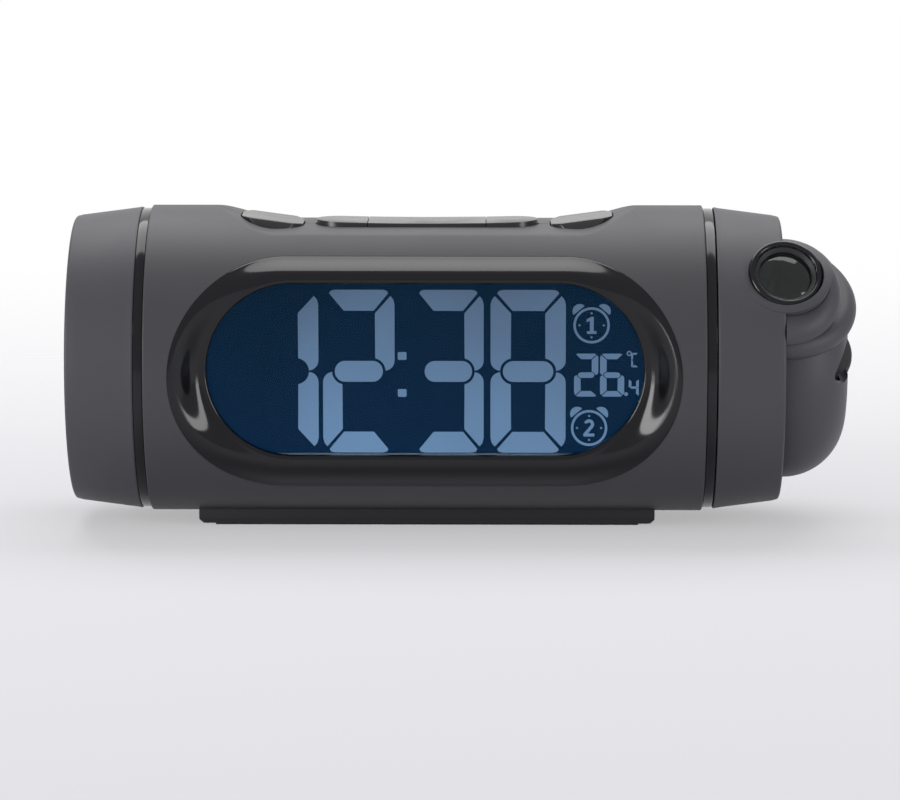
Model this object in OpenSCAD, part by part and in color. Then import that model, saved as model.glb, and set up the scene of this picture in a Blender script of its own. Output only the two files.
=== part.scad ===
// Projection alarm clock: a cylindrical casing on a low foot, with a large oval display,
// a saddle-shaped key deck, and a swivelling end cap that carries a small projector.
// The casing's axis is X, the display faces -Y, and the origin is under the axis on the table.

/* [Casing] */
// Diameter of the cylindrical casing
body_d = 80; // [79:0.5:81]
// Length of the casing between the two gloss rings
body_len = 143.6; // [142:0.2:146]
// Wall thickness of the casing shells
wall = 2.2; // [2:0.1:2.4]
// Height of the casing's axis above the table
axis_h = 43; // [42.5:0.5:45]

/* [Ends] */
// Width of the gloss ring at each end of the casing
ring_w = 2.6; // [2:0.1:3]
// Length of each end cap
cap_len = 17.6; // [17:0.2:18.4]
// Diameter of an end cap beside the gloss ring
cap_d = 79; // [78.5:0.5:79.5]
// Diameter of an end cap at its outer end
cap_end_d = 74.4; // [74:0.2:75.4]

/* [Display] */
// Width of the oval bezel
bezel_w = 131; // [130:0.5:132]
// Height of the oval bezel
bezel_h = 59.6; // [59:0.2:60]
// Width of the display opening
window_w = 111.8; // [110:0.2:112.4]
// Height of the display opening
window_h = 44.3; // [43.5:0.1:44.8]
// Height of the display's centre above the casing's axis
window_rise = 1.3; // [1:0.1:1.6]
// Distance of the bezel's inner lip in front of the axis
lip_y = 33.4; // [33:0.1:33.8]

/* [Deck] */
// Height of the key deck above the casing's axis
deck_z = 35.4; // [35:0.1:35.6]
// Length of the flat middle of the deck
deck_flat = 84; // [82:0.5:86]
// Slope of the deck's two ends
deck_slope = 21; // [20:0.5:22]
// Crown radius of the deck from front to back
deck_crown = 311; // [280:1:340]

/* [Keys] */
// Distance of the outer keys from the middle
outer_key_x = 40.3; // [40:0.1:40.6]
// Width of an outer key
outer_key_w = 16; // [15.6:0.1:16.4]
// Depth of an outer key from front to back
outer_key_depth = 23; // [22:0.5:24]
// Length of the middle key group
key_row_len = 57.8; // [57:0.1:58.4]
// Depth of the middle key group from front to back
key_row_depth = 16; // [15:0.5:17]
// Half length of the snooze bar
snooze_half = 15.3; // [15:0.1:16]
// Travel of a top key
key_travel = 0.9; // [0.6:0.1:0.9]

/* [Foot] */
// Length of the base foot
foot_len = 119; // [116:0.5:122]
// Distance of the foot's front face from the axis
foot_front = 11.5; // [11:0.5:12]
// Distance of the foot's rear face from the axis
foot_rear = 16; // [15.5:0.5:17]

/* [Projector] */
// Elevation of the lens above the horizontal, in the rest pose
lens_up = 37; // [36:0.5:38]
// Distance of the lens axis above and behind the casing's axis
lens_shift = 3.95; // [3.8:0.05:4.1]
// Height of the lens bezel's top along the lens axis
lens_reach = 38.4; // [38.3:0.1:38.6]
// Radius of the gloss lens bezel
lens_bezel_r = 9.55; // [9.45:0.05:9.65]
// Radius of the drum behind the right end cap
drum_r = 31.2; // [31:0.1:31.6]
// Distance of the drum's end face beyond the cap
drum_len = 17.2; // [17:0.1:17.4]
// Radius of the focus wheel
wheel_r = 11.2; // [11:0.1:11.3]

/* [Hidden] */

$fn = 96;
eps = 0.01;
body_r = body_d / 2;
half_len = body_len / 2;
ring_x = half_len + ring_w;
cap_x = ring_x + cap_len;
ring_r = body_r - 0.8;
cap_wall = 2.2;
cap_taper = atan((cap_d - cap_end_d) / 2 / cap_len);

black = "#2a2a2e";
gloss = "#141418";
metal = "#b8bcc0";
board_green = "#1d5a3a";

// ---- placing ----

module lift() {
    translate([0, 0, axis_h]) children();
}

module along_x(x) {
    translate([x, 0, 0]) rotate([0, 90, 0]) children();
}

// A rod along X from x0 to x1
module rod_x(r, x0, x1, sides = $fn) {
    along_x(x0) cylinder(r = r, h = x1 - x0, $fn = sides);
}

// A ring along X from x0 to x1
module ring_along_x(r_out, r_in, x0, x1) {
    difference() {
        rod_x(r_out, x0, x1);
        rod_x(r_in, x0 - 1, x1 + 1);
    }
}

// A rod along Y from y0 to y1
module rod_y(r, y0, y1, sides = $fn) {
    translate([0, y1, 0]) rotate([90, 0, 0]) cylinder(r = r, h = y1 - y0, $fn = sides);
}

// A block given by its lowest and highest corners
module block(low, high) {
    translate(low) cube(high - low);
}

// An upright block with round ends at the left and right, centred on the origin
module oval_block(length, depth, z0, z1) {
    straight = length / 2 - depth / 2;
    block([-straight, -depth / 2, z0], [straight, depth / 2, z1]);
    for (side = [-1, 1]) translate([side * straight, 0, z0]) cylinder(d = depth, h = z1 - z0);
}

// The same block lying down, its length along X and its height along Z, from y0 to y1
module oval_plug(length, height, y0, y1) {
    rotate([90, 0, 0]) oval_block(length, height, -y1, -y0);
}

// ---- casing ----

// Half of the deck's side profile: distance from the crown's centre against x
function deck_profile(drop) = let(
    base = deck_crown - drop,
    blend = 7,
    start = deck_flat / 2 - blend / 2,
    blend_r = blend / sin(deck_slope),
    slope_end = half_len + 4
) concat(
    [for (i = [0:8]) let(a = deck_slope * i / 8)
        [base + blend_r * (1 - cos(a)), start + blend_r * sin(a)]],
    [[base + blend_r * (1 - cos(deck_slope))
        + (slope_end - start - blend_r * sin(deck_slope)) * tan(deck_slope), slope_end]]
);

// The space under the deck's saddle surface, lowered by drop
module under_deck(drop) {
    side = deck_profile(drop);
    mirrored = [for (i = [len(side) - 1:-1:0]) [side[i][0], -side[i][1]]];
    inner = deck_crown - deck_z - body_r - 5;
    translate([0, 0, deck_z - deck_crown]) rotate([0, 90, 0]) rotate([0, 0, 170])
        rotate_extrude(angle = 20, $fn = 720)
            polygon(concat([[inner, -half_len - 4]], mirrored, side, [[inner, half_len + 4]]));
}

// The casing's form, shrunk inwards by inset
module casing_form(inset, half = half_len) {
    intersection() {
        rod_x(body_r - inset, -half, half);
        under_deck(inset);
    }
}

module casing_wall() {
    difference() {
        casing_form(0);
        casing_form(wall, half_len + 1);
    }
}

// Openings in the deck for the five top keys, grown by gap
module key_openings(gap) {
    for (side = [-1, 1]) translate([side * outer_key_x, 0, 0])
        rotate([0, 0, 90]) oval_block(outer_key_depth + 2 * gap, outer_key_w + 2 * gap, 20, 50);
    oval_block(key_row_len + 2 * gap, key_row_depth + 2 * gap, 20, 50);
}

post_x = 61;
post_z = 25;

module at_posts() {
    for (x = [-post_x, post_x]) for (z = [-post_z, post_z]) translate([x, 0, z]) children();
}

foot_screw_x = 50;
foot_screw_front = -5.5;
foot_screw_rear = 9.5;
foot_boss_top = -29;

module foot_boss(x, y) {
    translate([x, y, -body_r + 1]) cylinder(d = 6.4, h = foot_boss_top + body_r - 1);
}

module foot_screw_holes(y) {
    for (x = [-foot_screw_x, foot_screw_x])
        translate([x, y, -body_r - 5]) cylinder(r = 1.25, h = foot_boss_top + body_r + 4);
}

module front_shell() color(black) lift() {
    difference() {
        union() {
            intersection() {
                casing_wall();
                block([-half_len, -body_r, -body_r], [half_len, 0, body_r]);
            }
            // posts for the housing screws
            intersection() {
                at_posts() rod_y(3.4, -36, -0.3);
                casing_form(wall - eps);
            }
            intersection() {
                for (x = [-foot_screw_x, foot_screw_x]) foot_boss(x, foot_screw_front);
                casing_form(wall - eps);
            }
        }
        oval_plug(bezel_w + 0.2, bezel_h + 0.2, -body_r - 1, -20);
        key_openings(0.3);
        at_posts() rod_y(1.25, -14, 1);
        foot_screw_holes(foot_screw_front);
    }
}

door_half = 26;
door_low = -26.8;
door_high = -5.2;

set_key_x = [-30, -18, -6, 6];
set_key_up = 32;

// Children point +Z outwards at the rear setting keys' row
module at_set_key(i) {
    translate([set_key_x[i], 0, 0]) rotate([set_key_up - 90, 0, 0]) children();
}

jack_x = 48;
jack_z = -15;

// The lip that bridges the seam from inside, carried by the rear shell
module seam_lip() {
    lip_end = half_len - 6;
    lip_thick = 1.3;
    difference() {
        union() {
            intersection() {
                casing_form(wall - eps, lip_end);
                block([-lip_end, 0, -body_r], [lip_end, 3, body_r]);
            }
            intersection() {
                casing_form(wall + 0.15, lip_end);
                block([-lip_end, -2.5, -body_r], [lip_end, eps, body_r]);
            }
        }
        casing_form(wall + lip_thick, half_len + 1);
    }
}

module rear_shell() color(black) lift() {
    difference() {
        union() {
            intersection() {
                casing_wall();
                block([-half_len, 0, -body_r], [half_len, body_r, body_r]);
            }
            difference() {
                seam_lip();
                key_openings(2.2);
                at_posts() rod_y(3.8, -5, 0);
                for (x = [-foot_screw_x, foot_screw_x])
                    block([x - 4, -5, -body_r], [x + 4, 0, -30]);
            }
            intersection() {
                at_posts() rod_y(3.6, 0.1, 36);
                casing_form(wall - eps);
            }
            intersection() {
                for (x = [-foot_screw_x, foot_screw_x]) foot_boss(x, foot_screw_rear);
                casing_form(wall - eps);
            }
        }
        key_openings(0.3);
        at_posts() rod_y(1.6, -1, 20);
        at_posts() rod_y(3, 12, 40);
        foot_screw_holes(foot_screw_rear);
        block([-door_half - 0.3, 20, door_low - 0.3], [door_half + 0.3, body_r + 2, door_high + 0.3]);
        for (i = [0:3]) at_set_key(i) cylinder(r = 3.8, h = body_r + 5);
        translate([jack_x, 0, jack_z]) rod_y(4.4, 30, 45);
    }
}

// ---- display ----

bezel_r = body_r + 0.2;
window_front = 31.2;
window_thick = 1.6;

// Point on an oval of the given size at turn t, in the XZ plane
function oval_point(length, height, t) = let(
    r = height / 2,
    side = cos(t) >= 0 ? 1 : -1
) [side * (length / 2 - r) + r * cos(t), r * sin(t)];

function on_casing(r, z) = -sqrt(r * r - z * z);

// One section of the bezel, as points going from its outer edge over the face to the lip and back
function bezel_section(t) = let(
    outer = oval_point(bezel_w, bezel_h, t),
    lip = oval_point(window_w + 1.6, window_h + 1.6, t) + [0, window_rise],
    opening = oval_point(window_w, window_h, t) + [0, window_rise],
    back = oval_point(bezel_w - 6, bezel_h - 5, t)
) concat(
    [for (i = [0:7]) let(
        u = i / 7,
        p = outer * (1 - u) + lip * u,
        dish = u * u * (3 - 2 * u)
    ) [p[0], on_casing(bezel_r, p[1]) * (1 - dish) - lip_y * dish, p[1]]],
    [[opening[0], -lip_y + 0.35, opening[1]]],
    [[opening[0], -window_front, opening[1]]],
    [[lip[0], -window_front, lip[1]]],
    [[back[0], max(-window_front, on_casing(body_r - wall, back[1])), back[1]]],
    [[outer[0], on_casing(body_r - wall - 0.4, outer[1]), outer[1]]]
);

module display_bezel() color(gloss) lift() {
    steps = 96;
    sections = [for (k = [0:steps - 1]) bezel_section(-90 + (k + 0.5) * 360 / steps)];
    m = len(sections[0]);
    points = [for (s = sections) for (p = s) p];
    faces = [
        for (k = [0:steps - 1]) for (i = [0:m - 1]) let(
            a = k * m + i,
            b = k * m + (i + 1) % m,
            c = ((k + 1) % steps) * m + (i + 1) % m,
            d = ((k + 1) % steps) * m + i
        ) each [[a, c, b], [a, d, c]]
    ];
    polyhedron(points = points, faces = faces);
}

module display_window() color("#0b2036") lift() {
    translate([0, 0, window_rise])
        oval_plug(window_w + 1.4, window_h + 1.4, -window_front, -window_front + window_thick);
}

lcd_w = 113;
lcd_h = 44;
lcd_front = -29.2;
lcd_thick = 2.4;
guide_thick = 3;

module lcd_panel() color("#10243c") lift() {
    intersection() {
        translate([0, 0, window_rise])
            block([-lcd_w / 2, lcd_front, -lcd_h / 2], [lcd_w / 2, lcd_front + lcd_thick, lcd_h / 2]);
        rod_x(body_r - wall - 0.3, -half_len, half_len);
    }
}

module light_guide() color("#dfe8f2") lift() {
    front = lcd_front + lcd_thick + 0.1;
    translate([0, 0, window_rise])
        block([-lcd_w / 2, front, -lcd_h / 2], [lcd_w / 2, front + guide_thick, lcd_h / 2]);
}

frame_back = -20.6;
board_y = -13.6;

module lcd_frame() color("#e8e8e6") lift() {
    front = lcd_front + 0.4;
    standoff_x = 48;
    standoff_z = 19;
    difference() {
        intersection() {
            rod_x(body_r - wall - 0.6, -half_len, half_len);
            translate([0, 0, window_rise]) union() {
                difference() {
                    block([-lcd_w / 2 - 2, front, -lcd_h / 2 - 2], [lcd_w / 2 + 2, frame_back, lcd_h / 2 + 2]);
                    block([-lcd_w / 2 - 0.1, front - 1, -lcd_h / 2 - 0.1],
                        [lcd_w / 2 + 0.1, frame_back - 2, lcd_h / 2 + 0.1]);
                    for (x = [-28, 28]) block([x - 20, front, -14], [x + 20, 0, 14]);
                }
                for (x = [-standoff_x, standoff_x]) for (z = [-standoff_z, standoff_z])
                    translate([x, 0, z]) rod_y(2.6, frame_back - 1, board_y);
            }
        }
        at_posts() rod_y(3.7, -40, 0);
    }
}

module main_board() color(board_green) lift() {
    board_half = 54;
    board_top = 23;
    thick = 1.6;
    back = board_y + thick;
    block([-board_half, board_y, -board_top], [board_half, back, board_top]);
    block([-8, back, -7], [6, back + 2, 7]);
    block([-32, back, 2], [-22, back + 1.6, 12]);
    block([24, back, -14], [32, back + 1.6, -8]);
    for (x = [-44, -36, 40]) translate([x, 0, -14]) rod_y(3.1, back, back + 8);
    block([36, back, 6], [46, back + 5, 12]);
    translate([14, 0, -12]) rod_y(4, back, back + 3.4);
}

// ---- top keys ----

switch_top = 29;

module tact_switch(z0) {
    block([-3, -3, z0], [3, 3, switch_top - 0.4]);
    translate([0, 0, z0]) cylinder(r = 1.7, h = switch_top - z0);
}

module top_key_board() color(board_green) lift() {
    board_z = 24.4;
    difference() {
        block([-52, -11, board_z], [52, 11, board_z + 1.6]);
        for (x = [-46, -22, 22, 46]) translate([x, 8, board_z - 1]) cylinder(r = 1.4, h = 4);
    }
    for (x = [-outer_key_x, -22, -8, 8, 22, outer_key_x])
        translate([x, 0, 0]) tact_switch(board_z + 1.6);
}

flange_top = deck_z - wall - 0.35;
flange_low = flange_top - 1.2;
stem_low = switch_top + key_travel + 0.3;

// Part of an outer key above the flange: an oval button whose front and rear walls bulge
// out from under the straight front and rear edges of its tilted top
module outer_key(side) {
    top_tilt = 7.6;
    top_mid = deck_z + 2;
    wall_bulge = 9;
    translate([side * outer_key_x, 0, 0]) {
        intersection() {
            rotate([0, 0, 90]) oval_block(outer_key_depth, outer_key_w, flange_top - 0.5, 45);
            translate([0, 0, top_mid]) rotate([0, -side * top_tilt, 0]) {
                difference() {
                    block([-12, -14, -12], [12, 14, 0]);
                    rod_x_dish(220, 0.45);
                }
            }
            union() {
                for (edge = [-1, 1]) translate([0, edge * (outer_key_depth / 2 - wall_bulge), top_mid - 6.4])
                    rotate([0, -side * top_tilt, 0]) rod_x(wall_bulge, -12, 12);
                block([-12, -outer_key_depth / 2 + wall_bulge, 20], [12, outer_key_depth / 2 - wall_bulge, 45]);
                block([-12, -14, 20], [12, 14, top_mid - 6.4]);
            }
        }
        rotate([0, 0, 90]) oval_block(outer_key_depth + 2.4, outer_key_w + 2.4, flange_low, flange_top);
        translate([0, 0, stem_low]) cylinder(r = 2.2, h = flange_low - stem_low + eps);
    }
}

// A wide shallow trough along X that dishes a key's top
module rod_x_dish(r, depth) {
    translate([0, 0, r - depth]) rod_x(r, -20, 20, 720);
}

module left_outer_key() color(black) lift() {
    outer_key(-1);
}

module right_outer_key() color(black) lift() {
    outer_key(1);
}

row_top = deck_z + 1.3;
row_sag = 0.5;
row_gap = 0.2;

// One key of the middle row, between x0 and x1
module row_key(x0, x1, stems) {
    span = key_row_len / 2;
    sag_r = span * span / (2 * row_sag);
    flange_grow = 1.2;
    difference() {
        union() {
            intersection() {
                oval_block(key_row_len, key_row_depth, flange_top - 0.5, row_top);
                block([x0, -20, 20], [x1, 20, 50]);
            }
            intersection() {
                oval_block(key_row_len + 2 * flange_grow, key_row_depth + 2 * flange_grow, flange_low, flange_top);
                block([x0, -20, 20], [x1, 20, 50]);
            }
            for (x = stems) translate([x, 0, stem_low]) cylinder(r = 2.2, h = flange_low - stem_low + eps);
        }
        translate([0, 0, row_top - row_sag + sag_r]) rod_y(sag_r, -20, 20, 1440);
        // bevels along the front and rear top edges
        for (edge = [-1, 1]) translate([0, edge * key_row_depth / 2, row_top])
            rotate([45, 0, 0]) cube([80, 0.7, 0.7], center = true);
    }
}

module left_inner_key() color(black) lift() {
    row_key(-40, -snooze_half - row_gap, [-22]);
}

module snooze_bar() color(black) lift() {
    row_key(-snooze_half, snooze_half, [-8, 8]);
}

module right_inner_key() color(black) lift() {
    row_key(snooze_half + row_gap, 40, [22]);
}

// ---- rear setting keys ----

set_switch_top = 34.4;

module rear_key_board() color(board_green) lift() {
    middle = (set_key_x[0] + set_key_x[3]) / 2;
    rotate([set_key_up - 90, 0, 0]) translate([middle, 0, 0])
        block([-25, -6, 29.4], [25, 6, 31]);
    for (i = [0:3]) at_set_key(i) {
        block([-2.6, -2.6, 31], [2.6, 2.6, 34]);
        translate([0, 0, 31]) cylinder(r = 1.5, h = set_switch_top - 31);
    }
}

module set_key(i) {
    travel_room = 1;
    at_set_key(i) {
        translate([0, 0, 36.2]) cylinder(r = 3.5, h = body_r + 0.3 - 36.2);
        translate([0, 0, body_r + 0.3 - eps]) cylinder(r1 = 3.5, r2 = 2.9, h = 0.5);
        translate([0, 0, 36]) cylinder(r = 4.5, h = 1);
        translate([0, 0, set_switch_top + travel_room]) cylinder(r = 1.6, h = 1.5);
    }
}

module time_key() color(black) lift() set_key(0);

module alarm_key() color(black) lift() set_key(1);

module up_key() color(black) lift() set_key(2);

module down_key() color(black) lift() set_key(3);

// ---- ends of the casing ----

spigot_r = body_r - wall - 0.1;
spigot_in = half_len - 5;

// Gloss ring with the spigot that holds it in the casing; side is +1 for the right end
module trim_ring(side) {
    lip_x = half_len - 0.6;
    mirror([side < 0 ? 1 : 0, 0, 0]) {
        ring_along_x(ring_r, 35.7, half_len, ring_x);
        ring_along_x(spigot_r, 35.7, spigot_in, half_len + eps);
        ring_along_x(35.8, 32, lip_x, lip_x + 2);
    }
}

module left_trim_ring() color(gloss) lift() trim_ring(-1);

module right_trim_ring() color(gloss) lift() trim_ring(1);

// Outline of a cap's wall: the outer surface tapers outwards and its end edge is rounded
function cap_outline(inner_x) = let(
    r0 = cap_d / 2,
    r1 = cap_end_d / 2,
    edge = 1
) concat(
    [[r0 - 0.4, inner_x], [r0, inner_x + 0.4]],
    [for (i = [0:5]) let(a = 90 * i / 5) [r1 - edge + edge * cos(a), cap_x - edge + edge * sin(a)]],
    [[r1 - cap_wall, cap_x], [r0 - cap_wall, inner_x]]
);

grille_x = cap_x - 3.2;

module left_cap() color(black) lift() mirror([1, 0, 0]) {
    rotate([0, 90, 0]) rotate_extrude($fn = 180) polygon(cap_outline(ring_x));
    ring_along_x(36, 33.6, grille_x - 1.4, grille_x);
    ring_along_x(35.5, 33.6, half_len + 1.6, ring_x + 2);
    ring_along_x(38, 33.6, ring_x, ring_x + 2);
}

// The disc that closes the left cap, with sound holes in rings and a ring that seats the speaker
module speaker_grille() color(black) lift() mirror([1, 0, 0]) {
    difference() {
        union() {
            rod_x(cap_end_d / 2 - cap_wall - 0.1, grille_x, cap_x - 0.8);
            ring_along_x(21.4, 19.4, grille_x - 9, grille_x + eps);
        }
        rod_x(1.1, grille_x - 1, cap_x);
        for (ring = [1:4]) for (k = [0:6 * ring - 1]) rotate([k * 60 / ring, 0, 0])
            translate([0, 0, 3.9 * ring]) rod_x(1.1, grille_x - 1, cap_x, 24);
    }
}

module speaker() color("#3a3a3c") lift() mirror([1, 0, 0]) {
    rim_x = cap_x - 3.3;
    along_x(0) rotate_extrude() polygon([
        [0, rim_x - 9.5], [10, rim_x - 9.5], [10, rim_x - 6], [18.6, rim_x - 1.4],
        [18.6, rim_x], [16.4, rim_x], [16.4, rim_x - 0.8], [7, rim_x - 4], [0, rim_x - 3.2],
    ]);
    rod_x(8.4, rim_x - 14, rim_x - 9.4);
}

// ---- foot ----

foot_z = 0.6;
foot_chamfer = 1.2;

// A block on z0 whose lower long or short edges are chamfered, seen along its length
function chamfered(a0, a1, z0, z1, c) = [[a0 + c, z0], [a1 - c, z0], [a1, z0 + c], [a1, z1], [a0, z1], [a0, z0 + c]];

module base_foot() color("#2d2d31") {
    half = foot_len / 2;
    top = axis_h - 36.2;
    difference() {
        intersection() {
            along_x(-half) rotate([0, 0, 90]) linear_extrude(foot_len)
                polygon(chamfered(-foot_front, foot_rear, foot_z, top, foot_chamfer));
            translate([0, foot_rear + 1, 0]) rotate([90, 0, 0]) linear_extrude(foot_front + foot_rear + 2)
                polygon(chamfered(-half, half, foot_z, top, foot_chamfer));
        }
        lift() rod_x(body_r + 0.05, -half - 1, half + 1);
        block([-half + 4, -foot_front + 2.4, foot_z - 1], [half - 4, foot_rear - 2.4, foot_z + 0.6]);
        for (x = [-foot_screw_x, foot_screw_x]) for (y = [foot_screw_front, foot_screw_rear])
            translate([x, y, -1]) {
                cylinder(d = 3, h = 12);
                cylinder(d = 5.6, h = 3.4);
            }
    }
}

module foot_pad() color("#1c1c1e") {
    half = foot_len / 2;
    block([-half + 4.2, -foot_front + 2.6, 0], [half - 4.2, foot_rear - 2.6, foot_z + 0.6]);
}

// A pan-head screw pointing up from the origin, with a cross recess
module pan_screw(r, length, head_r, head_h) {
    translate([0, 0, -eps]) cylinder(r = r, h = length);
    difference() {
        translate([0, 0, -head_h]) cylinder(r1 = head_r * 0.8, r2 = head_r, h = head_h);
        for (turn = [0, 90]) rotate([0, 0, turn])
            translate([0, 0, -head_h]) cube([head_r * 1.1, 0.6, 1.2], center = true);
    }
}

module foot_screws() color(metal) {
    for (x = [-foot_screw_x, foot_screw_x]) for (y = [foot_screw_front, foot_screw_rear])
        translate([x, y, 2.4]) pan_screw(1.2, 9, 2.5, 1.2);
}

module housing_screws() color(metal) lift() {
    at_posts() translate([0, 12, 0]) rotate([90, 0, 0]) pan_screw(1.2, 24, 2.6, 1.8);
}

// ---- rear fittings ----

module battery_door() color(black) lift() {
    tab_half = 6;
    intersection() {
        block([-door_half, 20, door_low], [door_half, body_r + 1, door_high]);
        union() {
            ring_along_x(body_r, body_r - 1.9, -door_half, door_half);
            // thumb ribs
            for (k = [-1:1]) translate([0, 0, -9 + k * 1.6]) block([-tab_half, 37.5, -0.35], [tab_half, 39.6, 0.35]);
        }
    }
}

cell_r = 5.2;
cell_y = 24.2;
cell_z = [-21.4, -10.7];
cell_half = 22;

module battery_box() color("#242428") lift() {
    difference() {
        intersection() {
            block([-28.5, 17, -28.4], [28.5, body_r, -3.6]);
            rod_x(body_r - wall - 0.05, -30, 30);
        }
        block([-24.8, 18.6, -27], [24.8, body_r + 1, -5]);
    }
}

module battery_cells() color("#c8ccd2") lift() {
    for (k = [0, 1]) {
        flip = k == 0 ? 1 : -1;
        translate([0, cell_y, cell_z[k]]) {
            rod_x(cell_r, -cell_half, cell_half - 0.8);
            rod_x(1.8, flip > 0 ? cell_half - 1 : -cell_half - 0.7, flip > 0 ? cell_half + 0.1 : -cell_half + eps);
        }
    }
}

module battery_contacts() color(metal) lift() {
    for (side = [-1, 1]) for (z = cell_z)
        block([side > 0 ? 24.2 : -24.8, cell_y - 4, z - 4], [side > 0 ? 24.8 : -24.2, cell_y + 4, z + 4]);
}

module power_jack() color("#1a1a1c") lift() translate([jack_x, 0, jack_z]) {
    face_y = 34.8;
    difference() {
        union() {
            rod_y(4.2, 30, face_y);
            block([-4.5, 22, -5.5], [4.5, 31.4, 5.5]);
        }
        rod_y(1.9, 26, face_y + 1);
    }
    rod_y(0.65, 25.5, face_y - 1);
}

// ---- projector swivel ----

bearing_r = 12.05;
journal_r = 12;
bearing_x0 = 59.6;
bearing_x1 = 74.6;
web_x0 = 75.6;
web_x1 = 77.6;
clip_x0 = 58.2;
clip_x1 = 59.3;

module swivel_bearing() color("#3c3c40") lift() {
    plate_x0 = 68.8;
    plate_x1 = half_len - 0.6;
    difference() {
        union() {
            rod_x(35.6, plate_x0, plate_x1);
            rod_x(15.5, bearing_x0, bearing_x1);
            for (k = [0:5]) rotate([k * 60 + 30, 0, 0]) block([61.5, -1, 12.8], [plate_x0 + 1, 1, 22]);
        }
        rod_x(bearing_r, bearing_x0 - 1, bearing_x1 + 1);
        for (k = [0:5]) rotate([k * 60, 0, 0]) translate([0, 0, 26]) rod_x(4, 60, 75);
    }
}

module friction_washer() color(metal) lift() {
    ring_along_x(15.4, journal_r + 0.15, bearing_x1 + 0.15, web_x0);
}

module retaining_clip() color(metal) lift() {
    difference() {
        ring_along_x(14.4, 11.25, clip_x0, clip_x1);
        block([clip_x0 - 1, -4, -20], [clip_x1 + 1, 4, 0]);
    }
}

// ---- projector ----

optic_x = cap_x + 0.2 - 37.1 * tan(cap_taper);

// Children stand on the optical axis: +Z is the way the light leaves, -Y is towards the front
module on_optic() {
    translate([optic_x, 0, 0]) rotate([90 - lens_up, 0, 0]) translate([0, lens_shift, 0])
        rotate([0, cap_taper, 0]) children();
}

// A rod on the optical axis from s0 to s1
module optic_rod(r, s0, s1) {
    translate([0, 0, s0]) cylinder(r = r, h = s1 - s0);
}

collar_r = 11.75;
eye_r = body_r - 1.9;
eye_shift = 3;
guide_r = 7.95;
guide_low = 24;
seat_s = 33.8;

// The round form, lowered by drop, that the collar and the turret around it are cut to
module eye_form(drop, x0, x1) {
    translate([0, -eye_shift * sin(lens_up), -eye_shift * cos(lens_up)]) rod_x(eye_r - drop, x0, x1, 180);
}

// The cap's tapered surface carried on beyond its end, lowered by drop
module cap_cone(drop) {
    x1 = cap_x + 16;
    r_far = cap_end_d / 2 - (x1 - cap_x) * tan(cap_taper);
    along_x(ring_x) cylinder(r1 = cap_d / 2 - drop, r2 = r_far - drop, h = x1 - ring_x, $fn = 180);
}

module right_cap() color(black) lift() {
    difference() {
        union() {
            rotate([0, 90, 0]) rotate_extrude($fn = 180) polygon(cap_outline(ring_x + 0.3));
            rod_x(cap_d / 2 - cap_wall + 0.1, web_x0, web_x1);
            rod_x(journal_r, clip_x0 - 1.4, web_x0 + eps);
            // the eye: a round collar about the lens, flared into the cap on the cap's side
            difference() {
                intersection() {
                    union() {
                        on_optic() optic_rod(collar_r, 28, 44);
                        intersection() {
                            on_optic() translate([0, -4, 33.6]) cylinder(r1 = 15.5, r2 = 7.9, h = 4.25);
                            block([ring_x + 1, -60, -60], [cap_x, 60, 60]);
                        }
                    }
                    eye_form(0, ring_x + 2, ring_x + 38);
                }
                cap_cone(3);
            }
            intersection() {
                on_optic() optic_rod(10, guide_low, 38);
                cap_cone(1.2);
            }
        }
        rod_x(8.5, clip_x0 - 3, web_x1 + 1);
        ring_along_x(journal_r + 1, 11.2, clip_x0 - 0.05, clip_x1 + 0.05);
        on_optic() optic_rod(guide_r, 15, 45);
        on_optic() optic_rod(lens_bezel_r + 0.1, seat_s, 50);
        on_optic() optic_rod(9, seat_s - 2.5, 50);
        at_drum_screws() rod_x(1.4, web_x0 - 1, web_x1 + 1);
    }
}

drum_x0 = cap_x - 1.2;
drum_x1 = cap_x + drum_len;
drum_wall = 2;
drum_corner = 16.2;
drum_screw_r = 27.6;

module at_drum_screws() {
    for (turn = [120, 185, 250, 315]) rotate([turn, 0, 0]) translate([0, 0, drum_screw_r]) children();
}

// Half section of the drum in (r, x): a square with one large round corner, shrunk by inset
module drum_section(inset, x0) {
    flat_r = drum_r - drum_corner;
    end_x = drum_x1 - inset;
    corner = drum_corner - inset;
    translate([0, x0]) square([flat_r, end_x - x0]);
    translate([0, x0]) square([drum_r - inset, end_x - corner - x0]);
    intersection() {
        translate([flat_r, end_x - corner]) circle(r = corner);
        translate([flat_r - 1, x0]) square([corner + 2, end_x - x0 + 1]);
    }
}

module drum_form(inset, x0) {
    rotate([0, 90, 0]) rotate_extrude($fn = 180) drum_section(inset, x0);
}

bead_r = 17.3;
bead_lean = 17;
edge_s = 33.1;
edge_shift = -2.4;

// Half section of the ring around the lens: a rounded face above a sharp edge and a narrower wall
module edge_section() {
    translate([0, -9]) square([15.3, 10]);
    intersection() {
        translate([11.2, -1.4]) circle(r = 5);
        square([20, 10]);
    }
    square([11.2, 3.4]);
}

// Turret around the lens: a fat bead that leans to the rear under an edged ring
module turret_form() {
    on_optic() {
        translate([0, 0, 24]) rotate([-bead_lean, 0, 0]) {
            rotate_extrude() translate([bead_r, 0]) circle(r = 3.5);
            translate([0, 0, -22]) cylinder(r = bead_r + 0.1, h = 25.3);
        }
        translate([-0.9, edge_shift, edge_s]) rotate_extrude() edge_section();
    }
}

wheel_x = 12.9;
wheel_turn = -16;
wheel_s0 = 1;
wheel_s1 = 5;
spindle_r = 2;

// Children stand on the focus wheel's axis, beside the optical axis
module at_wheel() {
    rotate([0, 0, wheel_turn]) translate([wheel_x, 0, 0]) children();
}

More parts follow.
